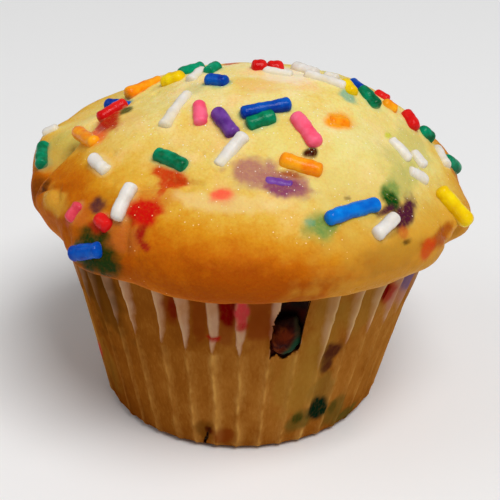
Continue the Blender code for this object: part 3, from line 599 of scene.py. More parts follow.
def flute_azimuths():
    """The front flutes as they stand, and the rest spread evenly with a small seeded shift."""
    draw = random.Random(SEED)
    start = FRONT_FLUTES[-1]
    pitch = (360 + FRONT_FLUTES[0] - start) / (BACK_FLUTE_COUNT + 1)
    numbers = range(1, BACK_FLUTE_COUNT + 1)
    back = (start + pitch * (number + draw.uniform(-FLUTE_JITTER, FLUTE_JITTER)) for number in numbers)
    return np.radians([*FRONT_FLUTES, *back])


def every_sprinkle():
    """The shown sprinkles, and some for the side that faces away.

    Each of those is as far as it can be from the others, and they reach highest at the very back.
    """
    draw, loose = random.Random(SEED), random.Random(SEED + 1)
    rows = list(SHOWN_SPRINKLES)
    shown = np.array([row[1:3] for row in rows])
    taken = list(crown_surface(np.radians(shown[:, 0]), shown[:, 1]))
    reach = 180 - BACK_FROM_AZIMUTH
    for _ in range(BACK_SPRINKLES):
        places = []
        for _ in range(PLACES_TRIED):
            turn = draw.uniform(-reach, reach)
            top_rise = np.interp(abs(turn), (0, reach), BACK_TOP_RISES[::-1])
            places.append((180 + turn, draw.uniform(BACK_LOWEST_RISE, top_rise)))
        azimuths, rises = np.array(places).T
        spots = crown_surface(np.radians(azimuths), rises)
        best = int(np.argmax([min(np.linalg.norm(spot - other) for other in taken) for spot in spots]))
        taken.append(spots[best])
        colour, heading = draw.choice(SPRINKLE_COLOURS), draw.uniform(0, 180)
        length = draw.uniform(*BACK_LENGTHS)
        lift, dip = loose.uniform(*BACK_LIFTS), loose.uniform(*BACK_DIPS)
        rows.append((colour, *places[best], heading, length, BACK_RADIUS, lift, dip))
    return rows


# ================================================================ noise and meshes
def lattice_value(cells, seed):
    """A repeatable number from -1 to 1 for each whole-number cell."""
    mixed = seed * SEED_FACTOR
    for axis, factor in enumerate(CELL_FACTORS):
        mixed = mixed ^ (cells[..., axis].astype(np.int64) * factor)
    mixed = (mixed ^ (mixed >> 13)) * MIX_FACTOR
    return ((mixed ^ (mixed >> 16)) & 0xFFFFFF) / 0x7FFFFF - 1


def noise(points, size, seed):
    """Smooth noise from -1 to 1 with lumps of this size."""
    scaled = np.asarray(points, float) / size
    base = np.floor(scaled)
    share = scaled - base
    share = share * share * (3 - 2 * share)
    total = 0
    for corner in np.ndindex(2, 2, 2):
        weight = np.prod(np.where(corner, share, 1 - share), axis=-1)
        total = total + weight * lattice_value(base + corner, seed)
    return total


def layered_noise(points, layers, seed):
    """Noises of several sizes and strengths, added up."""
    return sum(strength * noise(points, size, at) for at, (size, strength) in enumerate(layers, seed))


def smooth_step(low, high, value):
    share = np.clip((value - low) / (high - low), 0, 1)
    return share * share * (3 - 2 * share)


def bell(value, half_width):
    """1 in the middle, falling off smoothly to both sides."""
    return np.exp(-((value / half_width) ** 2))


def grid_faces(rings, count, first=0):
    """Quads between each ring of this many points and the next."""
    index = np.arange(count)
    after = (index + 1) % count
    quad = np.stack([index, after, count + after, count + index], axis=1)
    return np.vstack([first + ring * count + quad for ring in range(rings - 1)]).tolist()


def fan_faces(first, count, middle, opening):
    """Triangles from a ring to its middle point, turned over at the opening end of a tube."""
    ring = [(first + i, first + (i + 1) % count) for i in range(count)]
    return [(b, a, middle) if opening else (a, b, middle) for a, b in ring]


def tube_faces(rings, count, first=0):
    """A closed skin over rings of points, which are followed by the middles of the first and the last."""
    middle = first + rings * count
    ends = fan_faces(first, count, middle, True) + fan_faces(middle - count, count, middle + 1, False)
    return grid_faces(rings, count, first) + ends


def link_object(name, data):
    made = bpy.data.objects.new(name, data)
    bpy.context.scene.collection.objects.link(made)
    return made


def mesh_object(name, points, faces, look):
    mesh = bpy.data.meshes.new(name)
    mesh.from_pydata((np.asarray(points) * MM).tolist(), [], faces)
    mesh.materials.append(look)
    return link_object(name, mesh)


def make_piece(name, points, faces, look, slot, replaced=(), **paint):
    """A smooth piece on the root body, with numbers, or colours with their cover, painted on its points."""
    piece = mesh_object(name, points, faces, look)
    piece.data.shade_smooth()
    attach(piece, ROOT)
    if replaced:
        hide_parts(*replaced)
    for key, values in paint.items():
        values = np.asarray(values, np.float32)
        kind, field = ("FLOAT_COLOR", "color") if values.ndim > 1 else ("FLOAT", "value")
        piece.data.attributes.new(key, kind, "POINT").data.foreach_set(field, values.ravel())
    return piece


# ================================================================ dyes
def no_dye(shape):
    """An empty layer, which holds colour times cover, and cover."""
    return np.zeros((*shape, 4))


def lay_colour(layer, dye, amount):
    amount = np.clip(amount, 0, 1)[..., None]
    return layer * (1 - amount) + np.array([*DYE_LIGHT_AND_SHADE_COLOURS[dye], 1]) * amount


def lay_stains_light_and_shade(layer, rows, points, offsets, edge, seed):
    """Lays ragged-edged stains and patches of painted light and shade, whose offsets from each point are in
    millimetres.
    """
    for number, (dye, at, up, across, along, turn, strength) in enumerate(rows, seed):
        sideways, upward = offsets(at, up)
        cosine, sine = math.cos(math.radians(turn)), math.sin(math.radians(turn))
        reach = np.hypot(
            (sideways * cosine + upward * sine) / across, (upward * cosine - sideways * sine) / along
        )
        near = reach < STAIN_LIMIT
        reach[near] += STAIN_RAGGED * (
            noise(points[near], STAIN_GRAIN, number) + noise(points[near], STAIN_FINE_GRAIN, number + 1) / 2
        )
        layer = lay_colour(layer, dye, strength * np.where(near, smooth_step(*edge, reach), 0))
    return layer


def back_stains():
    draw = random.Random(SEED + 2)
    for _ in range(BACK_STAINS):
        azimuth = draw.uniform(BACK_STAINS_FROM, 360 - BACK_STAINS_FROM)
        across, along = draw.uniform(*BACK_STAIN_SIZES), draw.uniform(*BACK_STAIN_SIZES)
        dye, rise = draw.choice(BACK_STAIN_DYES), draw.uniform(*BACK_STAIN_RISES)
        yield dye, azimuth, rise, across, along, draw.uniform(*BACK_STAIN_TURNS), BACK_STRENGTH


def back_paper_stains():
    draw = random.Random(SEED + 3)
    for _ in range(BACK_PAPER_STAINS):
        azimuth = draw.uniform(BACK_PAPER_FROM, 360 - BACK_PAPER_FROM)
        height = draw.uniform(*BACK_PAPER_HEIGHTS)
        across, along = draw.uniform(*BACK_PAPER_WIDTHS), draw.uniform(*BACK_PAPER_LENGTHS)
        dye = draw.choice(BACK_PAPER_DYES)
        yield dye, azimuth, height, across, along, draw.uniform(*BACK_PAPER_TURNS), BACK_STRENGTH


# ================================================================ materials
def new_material(name):
    made = bpy.data.materials.new(name)
    made.use_nodes = True
    return made, made.node_tree, made.node_tree.nodes["Principled BSDF"]


def plug(tree, socket, value):
    """Links another socket to this one, or sets its value."""
    if isinstance(value, bpy.types.NodeSocket):
        tree.links.new(value, socket)
    else:
        socket.default_value = value


def fill(tree, node, **values):
    """Plugs each value into the node's input of that name."""
    for key, value in values.items():
        plug(tree, node.inputs[key.replace("_", " ")], value)


def add(tree, kind, settings=None, **values):
    """A node with its settings and its inputs."""
    made = tree.nodes.new(kind)
    for key, value in (settings or {}).items():
        setattr(made, key, value)
    fill(tree, made, **values)
    return made


def object_place(tree, scale=None):
    """Places on the object, drawn out along the axes where the scale is below 1."""
    where = add(tree, "ShaderNodeTexCoord").outputs["Object"]
    if scale:
        settings = {"vector_type": "POINT"}
        where = add(tree, "ShaderNodeMapping", settings, Vector=where, Scale=scale).outputs["Vector"]
    return where


def noise_at(tree, size, detail=2, roughness=0.5, distortion=0, scale=None):
    """Noise with lumps of this size in millimetres."""
    return add(
        tree, "ShaderNodeTexNoise", Vector=object_place(tree, scale), Scale=1 / (size * MM),
        Detail=detail, Roughness=roughness, Distortion=distortion,
    ).outputs["Fac"]


def grains(tree, size):
    """Cells of this size in millimetres."""
    scale = 1 / (size * MM)
    return add(tree, "ShaderNodeTexVoronoi", Vector=object_place(tree), Scale=scale, Randomness=1).outputs


def remap(tree, value, low, high, to_low=0, to_high=1):
    return add(
        tree, "ShaderNodeMapRange", {"clamp": True}, Value=value, From_Min=low, From_Max=high,
        To_Min=to_low, To_Max=to_high,
    ).outputs["Result"]


def spread(tree, grain, low, high):
    """Turns the middle range of a noise into the range from low to high."""
    return remap(tree, grain, *NOISE_MIDDLE, low, high)


def math_node(tree, operation, first, second):
    made = add(tree, "ShaderNodeMath", {"operation": operation})
    for socket, value in zip(made.inputs, (first, second)):
        plug(tree, socket, value)
    return made.outputs[0]


def mix_colour(tree, share, first, second, blend="MIX"):
    first, second = ((*colour, 1) if isinstance(colour, tuple) else colour for colour in (first, second))
    made = add(tree, "ShaderNodeMixRGB", {"blend_type": blend}, Fac=share, Color1=first, Color2=second)
    return made.outputs["Color"]


def ramp(tree, share, stops):
    made = add(tree, "ShaderNodeValToRGB", Fac=share)
    elements = made.color_ramp.elements
    for element, (position, colour) in zip(elements, (stops[0], stops[-1])):
        element.position, element.color = position, (*colour, 1)
    for position, colour in stops[1:-1]:
        elements.new(position).color = (*colour, 1)
    return made.outputs["Color"]


def painted(tree, name, output="Fac"):
    """What is painted on the points under this name."""
    return add(tree, "ShaderNodeAttribute", {"attribute_name": name}).outputs[output]


def bumps(tree, *layers):
    """Bumps on top of each other, each given as its height and its depth in millimetres."""
    under = {}
    for height, depth in layers:
        made = add(tree, "ShaderNodeBump", Height=height, Strength=1, Distance=depth * MM, **under)
        under = {"Normal": made.outputs["Normal"]}
    return under["Normal"]


def dyed_lit_and_shaded(tree, under, patchy):
    """The colour under the painted dye and the painted light and shade, whose cover varies with patchy."""
    kept = remap(tree, math_node(tree, "MULTIPLY", painted(tree, "dye", "Alpha"), patchy), 0, 1, 1, 0)
    layers = []
    for colour, share in ((under, kept), (painted(tree, "dye", "Color"), patchy)):
        grey = add(tree, "ShaderNodeCombineColor", Red=share, Green=share, Blue=share).outputs["Color"]
        layers.append(mix_colour(tree, 1, colour, grey, "MULTIPLY"))
    return mix_colour(tree, 1, *layers, "ADD")


def crust_material():
    """Baked crust: browning, dyes with painted shade and light, fine crumb and sugar with painted glints."""
    made, tree, shader = new_material("crust")
    fine = noise_at(tree, 0.55, 4, 0.62)
    browning = painted(tree, "browning")
    for grain, reach in ((fine, 0.03), (noise_at(tree, 1.6, 3, 0.6), 0.045), (noise_at(tree, 4.5), 0.05)):
        browning = math_node(tree, "ADD", browning, spread(tree, grain, -reach, reach))
    crust = ramp(tree, browning, CRUST_RAMP)
    pale = remap(tree, browning, 0.10, 0.50, 0.75, 0)
    drift = noise_at(tree, 8)
    for (low, high), colour in (((0.52, 0.66), CRUST_GREENISH), ((0.48, 0.34), CRUST_PEACHY)):
        share = math_node(tree, "MULTIPLY", pale, remap(tree, drift, low, high))
        crust = mix_colour(tree, share, crust, colour)
    crumb = grains(tree, 0.42)["Distance"]
    crust = mix_colour(tree, remap(tree, crumb, 0.45, 0.95, 0, 0.30), crust, CRUMB_SHADE, "MULTIPLY")
    crust = dyed_lit_and_shaded(tree, crust, remap(tree, fine, 0.32, 0.62, 0.88, 1.06))
    # Painted highlights: the sugar glints whiten the base colour, golden where the crust is brown.
    glint = sugar_glints(tree, browning)
    sugar = mix_colour(tree, remap(tree, browning, 0.20, 0.60), SUGAR_GLINT, SUGAR_GLINT_ON_BROWN)
    rough = spread(tree, fine, 0.50, 0.66)
    for smoother, reach in ((glint, 0.3), (painted(tree, "shine"), 0.34)):
        rough = math_node(tree, "SUBTRACT", rough, math_node(tree, "MULTIPLY", smoother, reach))
    coarse = noise_at(tree, 1.1, 3, 0.6)
    fill(
        tree, shader, Base_Color=mix_colour(tree, glint, crust, sugar), Roughness=rough,
        Normal=bumps(tree, (coarse, 0.12), (fine, 0.06), (crumb, -0.035), (glint, 0.05)),
        Subsurface_Weight=0.22, Subsurface_Radius=(1, 0.45, 0.12), Subsurface_Scale=1.6 * MM,
        Specular_IOR_Level=0.03,
    )
    return made


def sugar_glints(tree, browning):
    """Painted highlights: tiny pale sugar glints of varied size and brightness, fewer where the crust is
    brown.
    """
    sugar = grains(tree, 0.66)
    varied = add(tree, "ShaderNodeSeparateColor", Color=sugar["Color"]).outputs
    size = remap(tree, varied["Green"], 0, 1, 0.08, 0.20)
    inside = remap(tree, math_node(tree, "SUBTRACT", size, sugar["Distance"]), 0, 0.05)
    bright = remap(tree, varied["Blue"], 0, 1, 0.35, 1)
    share = math_node(tree, "ADD", varied["Red"], painted(tree, "sugar"))
    share = math_node(tree, "SUBTRACT", share, remap(tree, browning, 0.3, 0.9, 0, 0.45))
    chosen = remap(tree, share, 0.98, 1.02)
    return math_node(tree, "MULTIPLY", math_node(tree, "MULTIPLY", inside, bright), chosen)


def sprinkle_material(colour):
    """Satin sugar with a faintly uneven surface, softened by the crust where it sinks in."""
    made, tree, shader = new_material(f"sprinkle_{colour}")
    paint = mix_colour(tree, remap(tree, noise_at(tree, 2, 3), 0.32, 0.68), *SPRINKLE_PAINT[colour])
    reach, most = SOAKED_WHITE if colour == "white" else SOAKED
    uneven = spread(tree, noise_at(tree, 1.4), -0.25, 0.25)
    above = math_node(tree, "ADD", painted(tree, "above_crust"), uneven)
    fill(
        tree, shader,
        Base_Color=mix_colour(tree, remap(tree, above, reach, -0.1, 0, most), paint, SOAKED_COLOUR),
        Roughness=spread(tree, noise_at(tree, 0.5), 0.10, 0.28),
        Normal=bumps(tree, (noise_at(tree, 0.8), 0.07), (noise_at(tree, 0.28), 0.035)),
        Subsurface_Weight=0.35 if colour == "white" else 0.08, Subsurface_Radius=(1, 0.8, 0.6),
        Subsurface_Scale=0.8 * MM, Specular_IOR_Level=0.12,
    )
    return made


def paper_material():
    """Greaseproof paper: soaked and brown where it clings to the cake, whitish where it stands off."""
    made, tree, shader = new_material("paper")
    fibres = noise_at(tree, 0.4, 3, 0.6, 0.4, FIBRE_SCALE)

    def fibrous(name, low, high):
        return math_node(tree, "ADD", painted(tree, name), spread(tree, fibres, low, high))

    brown = ramp(tree, fibrous("tone", -0.09, 0.09), PAPER_RAMP)
    brown = mix_colour(tree, remap(tree, fibrous("ridge", -0.10, 0.05), 0, 1), brown, PAPER_RIDGE)
    standing = fibrous("standing", -0.10, 0.10)
    pale = mix_colour(tree, remap(tree, noise_at(tree, 7), 0.4, 0.6), *PAPER_WHITE)
    pale = mix_colour(tree, remap(tree, standing, 1, 2), pale, PAPER_GLEAM)
    white = remap(tree, standing, 0.10, 0.90)
    paper = dyed_lit_and_shaded(tree, mix_colour(tree, white, brown, pale), spread(tree, fibres, 0.86, 1.10))
    creased = noise_at(tree, 0.8, distortion=0.6, scale=CREASE_SCALE)
    fill(
        tree, shader, Base_Color=paper, Roughness=remap(tree, white, 0, 1, 0.50, 0.65),
        Normal=bumps(tree, (noise_at(tree, 3.2), 0.08), (creased, 0.035), (fibres, 0.02)),
        Subsurface_Weight=0.12, Subsurface_Radius=(1, 0.5, 0.2), Subsurface_Scale=0.5 * MM,
        Specular_IOR_Level=0,
    )
    return made


def baked_lump_material():
    """Melted sugar and dye, dark and glossy, with a green edge."""
    made, tree, shader = new_material("baked_lump")
    swirl = noise_at(tree, 1.6, 3, 0.6, 0.8)
    fill(
        tree, shader, Base_Color=dyed_lit_and_shaded(tree, ramp(tree, swirl, LUMP_RAMP), spread(tree, swirl, 0.85, 1)),
        Roughness=spread(tree, swirl, 0.20, 0.40), Normal=bumps(tree, (noise_at(tree, 0.7, 3, 0.6), 0.12)),
        Specular_IOR_Level=0.02,
    )
    return made


# ================================================================ the cake
def sprinkle_axis(row):
    """Where one sprinkle sits on the crust, the way out of it, and its middle, forward and across."""
    _, azimuth, rise, heading, _, _, lift, dip = row
    here, sideways, uphill, outward = surface_frame(math.radians(azimuth), rise)
    turn, dip = math.radians(heading), math.radians(dip)
    level = sideways * math.cos(turn) + uphill * math.sin(turn)
    forward = level * math.cos(dip) - outward * math.sin(dip)
    return here, outward, here + outward * lift, forward, np.cross(outward, level)


def distance_to_side(points, row):
    """Distance of each point from a sprinkle's surface, which is negative inside it."""
    _, _, middle, forward, _ = sprinkle_axis(row)
    length, radius = row[4:6]
    half = length / 2 - radius
    offset = points - middle
    share = np.clip(offset @ forward, -half, half)
    return np.linalg.norm(offset - share[..., None] * forward, axis=-1) - radius


def pore_relief(azimuth, rise, radius):
    """Small round pores scattered over the crust, most of them low on it."""
    draw = random.Random(SEED + 4)
    total = 0
    for _ in range(PORE_COUNT):
        at, at_rise = draw.uniform(-180, 180), draw.uniform(*PORE_RISES) ** PORE_CROWDING
        size, depth = draw.uniform(*PORE_RADII), draw.uniform(*PORE_DEPTHS)
        reach = np.hypot(*crown_offsets(azimuth, rise, radius, at, at_rise)) / size
        total = total - depth * np.exp(-(reach**3))
    return total


def crown_relief(azimuth, rise, radius, plain, gaps):
    """Fine relief of the crust, and how it nestles round each sprinkle."""
    finer = bumps_height(FINE_BUMPS, azimuth, rise, radius)
    finer = finer - crease_depth(FINE_CREASES, azimuth, rise, radius)
    finer = finer + layered_noise(plain, LUMPS, LUMPS_SEED) + pore_relief(azimuth, rise, radius)
    finer = finer + COLLAR_HEIGHT * sum(bell(gap, COLLAR_REACH) for gap in gaps)
    return finer * np.interp(rise, FINE_FADE_RISES, (0, 1))


def crown_dye_light_and_shade(azimuth, rise, radius, plain, sprinkles, gaps):
    layer = no_dye(rise.shape)
    ragged = BLEED_RAGGED * noise(plain, BLEED_GRAIN, BLEED_SEED)
    for row, gap in zip(sprinkles, gaps):
        dye, strength, reach = BLEED[row[0]]
        layer = lay_colour(layer, dye, strength * smooth_step(reach, BLEED_INSIDE, gap + ragged))
    return lay_stains_light_and_shade(
        layer, [*CRUST_STAINS_LIGHT_AND_SHADE, *back_stains()], plain,
        lambda at, at_rise: crown_offsets(azimuth, rise, radius, at, at_rise), STAIN_EDGE, CRUST_STAIN_SEED,
    )


def pit_depth(azimuth, height):
    """How far the cake's side is hollowed behind the torn paper."""
    across, deep, tall = PIT_HALF_SIZES
    reach = (cup_offset(azimuth, height, PIT_AZIMUTH) / across) ** 2 + ((height - PIT_HEIGHT) / tall) ** 2
    return deep * np.sqrt(np.clip(1 - reach, 0, 1))


def pit_shadow_cover(azimuth, height):
    """How far the cake's side behind the torn place is covered by painted shadow."""
    sideways = cup_offset(azimuth, height, PIT_AZIMUTH) / TORN_HALF_WIDTH
    above = smooth_step(TORN_BOTTOM - TORN_FADE, TORN_BOTTOM, height)
    return smooth_step(*TORN_EDGE, np.abs(sideways)) * above


def nick_shadow_cover(azimuth, height):
    """How far the cake behind the nick is covered by painted shadow."""
    at, at_height, reach = NICK_SHADOW
    away = np.hypot(cup_offset(azimuth, height, at), height - at_height)
    return smooth_step(reach + NICK_FADE, reach, away)


def build_cake(look, sprinkles):
    """The whole cake: foot, side with the pit, and the detailed crown."""
    azimuths = np.linspace(-math.pi, math.pi, CROWN_COLUMNS, endpoint=False)
    inset = PAPER_THICKNESS / 2 + TOUCH_GAP
    floor = PAPER_THICKNESS + TOUCH_GAP
    curve = CUP_FOOT_CURVE - inset
    angle = np.linspace(0, math.pi / 2, FOOT_ROWS)[:, None]
    foot_radius = CUP_FOOT_RADIUS - CUP_FOOT_CURVE + curve * np.sin(angle)
    foot = place(azimuths, foot_radius, CUP_FOOT_CURVE - curve * np.cos(angle))
    foot[0, :, 2] = floor
    side_heights = np.linspace(CUP_FOOT_CURVE, CROWN_OUTLINE[0][1], SIDE_ROWS + 1)[1:-1]
    side_azimuth, side_height = np.meshgrid(azimuths, side_heights)
    side_radius = cup_radius(side_height) - inset - pit_depth(side_azimuth, side_height)
    side = place(side_azimuth, side_radius, side_height)
    azimuth, rise = np.meshgrid(azimuths, np.linspace(0, 1, CROWN_ROWS + 1)[:-1])
    radius = crown_outline_at(rise)[0]
    plain = crown_surface(azimuth, rise)
    gaps = [distance_to_side(plain, row) for row in sprinkles]
    finer = crown_relief(azimuth, rise, radius, plain, gaps)
    crown = crown_surface(azimuth, rise, finer)
    top = crown_surface(np.zeros(1), np.ones(1), finer[-1].mean())
    rings = np.concatenate([foot, side, crown])

    browning = np.interp(rise, BROWN_RISES, BROWN_LEVELS) + bumps_height(BROWN_PATCHES, azimuth, rise, radius)
    browning = browning + layered_noise(plain, BROWN_MOTTLE, BROWN_SEED)
    # Cover of the painted sugar glints.
    sugar = SUGAR_GLINT_COVER + SUGAR_GLINT_MOTTLE * noise(plain, SUGAR_GLINT_GRAIN, SUGAR_GLINT_SEED)
    sugar = np.clip(sugar + bumps_height(SUGAR_GLINT_PATCHES, azimuth, rise, radius), 0, 1)
    layer = crown_dye_light_and_shade(azimuth, rise, radius, plain, sprinkles, gaps)
    # Painted shadow: the crust's underside over the torn place is painted black.
    under_lip = smooth_step(*UNDER_LIP_RISES, rise) * pit_shadow_cover(azimuth, np.full(azimuth.shape, PIT_HEIGHT))
    layer = lay_colour(layer, "black", under_lip)
    # Painted shadow: the cake's side behind the torn place is painted black, with dark maroon below and to
    # the right.
    dark = pit_shadow_cover(side_azimuth, side_height)
    low = smooth_step(*MAROON_BELOW, side_height)
    maroon = np.maximum(low, smooth_step(*np.radians(MAROON_FROM), side_azimuth))
    maroon = maroon * smooth_step(*MAROON_PATCHES, noise(side, MAROON_GRAIN, MAROON_SEED))
    pit_layer = PIT_FULL * lay_colour(lay_colour(no_dye(dark.shape), "black", dark), "maroon", dark * maroon)
    # Painted shadow behind the nick, on the cake's side and its foot.
    pit_layer = lay_colour(pit_layer, "black", nick_shadow_cover(side_azimuth, side_height))
    foot_layer = lay_colour(no_dye(foot.shape[:2]), "black", nick_shadow_cover(azimuths, foot[..., 2]))

    def joined(of_foot, of_side, of_crown, at_foot, at_top):
        """Values for every point, from those of the three parts and of the two middles."""
        values = [
            np.broadcast_to(of_part, (*part.shape[:2], *np.shape(at_foot))).reshape(-1, *np.shape(at_foot))
            for of_part, part in ((of_foot, foot), (of_side, side), (of_crown, crown))
        ]
        return np.concatenate([*values, [at_foot], [at_top]])

    make_piece(
        "cake_crust", np.vstack([rings.reshape(-1, 3), [[0, 0, floor]], top]),
        tube_faces(len(rings), CROWN_COLUMNS), look, "crust", ["cake"],
        browning=joined(FOOT_BROWNING, SIDE_BROWNING, browning, FOOT_BROWNING, browning[-1, -1]),
        dye=joined(foot_layer, pit_layer, layer, no_dye(()), no_dye(())),
        shine=joined(0, PIT_SHINE * dark, smooth_step(*SHINY_COVERS, layer[..., 3]), 0, 0),
        sugar=joined(0, 0, sugar, 0, sugar[-1, -1]),
    )


def build_sprinkles(colour, look, sprinkles):
    """All sprinkles of one colour as one piece: rounded, slightly bent and slightly lumpy rods."""
    draw = random.Random(f"{SEED} {colour}")
    angles = np.linspace(0, 2 * math.pi, SPRINKLE_ROUND, endpoint=False)[:, None]
    share = np.linspace(0, 1, SPRINKLE_RINGS)[:, None]
    points, faces, above = [], [], []
    for row in sprinkles:
        if row[0] != colour:
            continue
        here, outward, middle, forward, across = sprinkle_axis(row)
        length = row[4]
        thick = row[5] * draw.uniform(*THICKNESS_SPREAD)
        blunt = draw.uniform(*BLUNT_ENDS) * thick
        bend = draw.uniform(-SPRINKLE_BEND, SPRINKLE_BEND) * length / 4
        along = -np.cos(math.pi * share) * length / 2
        inward = np.clip((np.abs(along) - (length / 2 - blunt)) / blunt, 0, 1)
        phase = draw.uniform(0, LARGEST_PHASE)
        waves = sum(height * np.sin(along * pace + times * phase) for height, pace, times in SPRINKLE_WAVES)
        radii = thick * (1 - inward**END_FULLNESS) ** 0.5 * (1 + waves)
        centres = middle + forward * along + across * bend * (1 - (2 * along / length) ** 2)
        ring = np.cos(angles) * across + np.sin(angles) * np.cross(forward, across)
        spokes = ring * radii[1:-1, None]
        body = centres[1:-1, None] + spokes
        uneven = SPRINKLE_UNEVENNESS * noise(body, SPRINKLE_GRAIN, SPRINKLE_SEED)
        body = body + uneven[..., None] * spokes
        first = len(points)
        points += [*body.reshape(-1, 3), centres[0], centres[-1]]
        above += ((np.array(points[first:]) - here) @ outward).tolist()
        faces += tube_faces(SPRINKLE_RINGS - 2, SPRINKLE_ROUND, first)
    slot = f"sprinkle_{colour.split('_')[-1]}"
    make_piece(f"sprinkles_{colour}", points, faces, look, slot, ["cake"], above_crust=above)


# ================================================================ the paper
def flute_traits(count):
    """One row for each trait of the flutes, drawn at random for those at the back."""
    draw = random.Random(SEED + 6)
    return np.array([
        [*front, *(draw.uniform(*back) for _ in range(count - len(front)))] for front, back in FLUTE_TRAITS
    ])


def flute_shape(azimuth, height, flutes):
    """Stand-off of the paper, how far it is a standing flute, and how far it is a pressed ridge."""
    nearest = np.abs(turn_between(azimuth[0][:, None], flutes)).argmin(axis=1)
    at = flutes[nearest]
    outer, inner, strength, lean, gleam, point, depth = flute_traits(len(flutes))[:, nearest]
    above = np.clip((height - point) / (CUP_HEIGHT - point), 0, 1)
    line = np.stack(np.broadcast_arrays(LINE_SPACING * nearest, height, 0), axis=-1)
    wobble = sum(reach * noise(line, size, RIDGE_SEED) for size, reach in RIDGE_WOBBLE)
    turned = turn_between(at, 0)
    drift = RIDGE_DRIFT * np.maximum(point - height, 0) * np.clip(np.abs(turned) / FULL_DRIFT, 0, 1)
    side = turn_between(azimuth, at) * cup_radius(height) * np.where(turned < SIDE_CHANGE, -1, 1)
    side = side + wobble + lean + drift
    outer_edge = outer * (1 - (1 - above) ** np.interp(np.abs(turned), OUTER_SWELL_FROM, OUTER_SWELLS))
    inner_edge = -inner * (1 - (1 - above) ** INNER_SWELL)
    open_share = smooth_step(0, OPEN_BY, above)
    soft = np.interp(np.abs(turned), SOFT_FROM, SOFT_EDGES)
    standing = smooth_step(outer_edge + SHARP_EDGE, outer_edge - SHARP_EDGE, side) * open_share
    standing = standing * smooth_step(inner_edge - SOFT_BEFORE * soft, inner_edge + soft, side)
    standing = standing * (1 + gleam * bell(outer_edge - side, GLEAM_REACH))
    steep = smooth_step(outer_edge + STEEP_FROM, outer_edge - STEEP_TO, side)
    profile = steep * smooth_step(inner_edge - GENTLE_FROM, outer_edge - GENTLE_TO, side)
    pressed = bell(side, RIDGE_HALF_WIDTH) * (1 - above)
    stand = FLUTE_DEPTH * depth * above**FLUTE_GROWTH * profile + RIDGE_DEPTH * pressed
    patchy = RIDGE_COVER + layered_noise(line, RIDGE_PATCHES, RIDGE_SEED + 3)
    band = BAND_COVER + BAND_PATCHES * noise(line, BAND_GRAIN, RIDGE_SEED + 6)
    band = band * bell(side + BAND_SHIFT, RIDGE_BAND)
    ridge = RIDGE_STRENGTH * bell(side, RIDGE_LINE) * patchy + band
    return stand, standing, ridge * strength * (1 - open_share)


def paper_tone(azimuth, height, points):
    """How pale the clinging paper is: by azimuth, mottled, and soaked towards the foot."""
    tone = np.interp(np.degrees(turn_between(azimuth, 0)), *zip(*PAPER_TONES))
    tone = tone + layered_noise(points * PAPER_STRETCH, PAPER_MOTTLE, PAPER_SEED)
    return tone - SOAKED_FOOT * smooth_step(SOAKED_BELOW, 0, height)


def ragged_prism(name, outline, depths, look):
    """A radial cutter with the outline's torn edge, made ragged between its points."""
    draw = random.Random(SEED + 8)
    to_millimetres = (math.radians(CUP_RIM_RADIUS), 1)
    edge = []
    for start, end in zip(outline, outline[1:] + outline[:1]):
        start, end = np.array(start), np.array(end)
        steps = max(1, round(np.hypot(*((end - start) * to_millimetres)) / TEAR_STEP))
        steps = 1 if start[1] == end[1] else steps
        edge.append(start)
        for step in range(1, steps):
            shift = [draw.gauss(0, TEAR_RAGGED), draw.gauss(0, TEAR_RAGGED)]
            shift = np.clip(shift, -TEAR_STEP / 3, TEAR_STEP / 3)
            edge.append(start + (end - start) * step / steps + shift / to_millimetres)
    azimuths, heights = np.array([*edge, np.mean(edge, axis=0)]).T
    near, far = (place(np.radians(azimuths), radius, heights) for radius in depths)
    points = np.vstack([near[:-1], far[:-1], near[-1:], far[-1:]])
    return mesh_object(name, points, tube_faces(2, len(edge)), look)


def cut_away(piece, cutters):
    """Cuts each of the cutters out of the piece, applies it and removes them."""
    for cutter in cutters:
        carve = piece.modifiers.new(cutter.name, "BOOLEAN")
        carve.operation, carve.solver, carve.object = "DIFFERENCE", "EXACT", cutter
    mesh = bpy.data.meshes.new_from_object(piece.evaluated_get(bpy.context.evaluated_depsgraph_get()))
    piece.modifiers.clear()
    piece.data = mesh
    for cutter in cutters:
        bpy.data.objects.remove(cutter, do_unlink=True)
    dye = np.empty(len(mesh.vertices) * 4, np.float32)
    mesh.attributes["dye"].data.foreach_get("color", dye)
    dye = dye.reshape(-1, 4)
    # The points of the cut edges come with ones as their dye.
    torn = np.all(dye == 1, axis=1)
    name, cover = TORN_DYE
    dye[torn] = lay_colour(no_dye(dye[torn].shape[:1]), name, np.full(np.count_nonzero(torn), cover))
    mesh.attributes["dye"].data.foreach_set("color", dye.ravel())


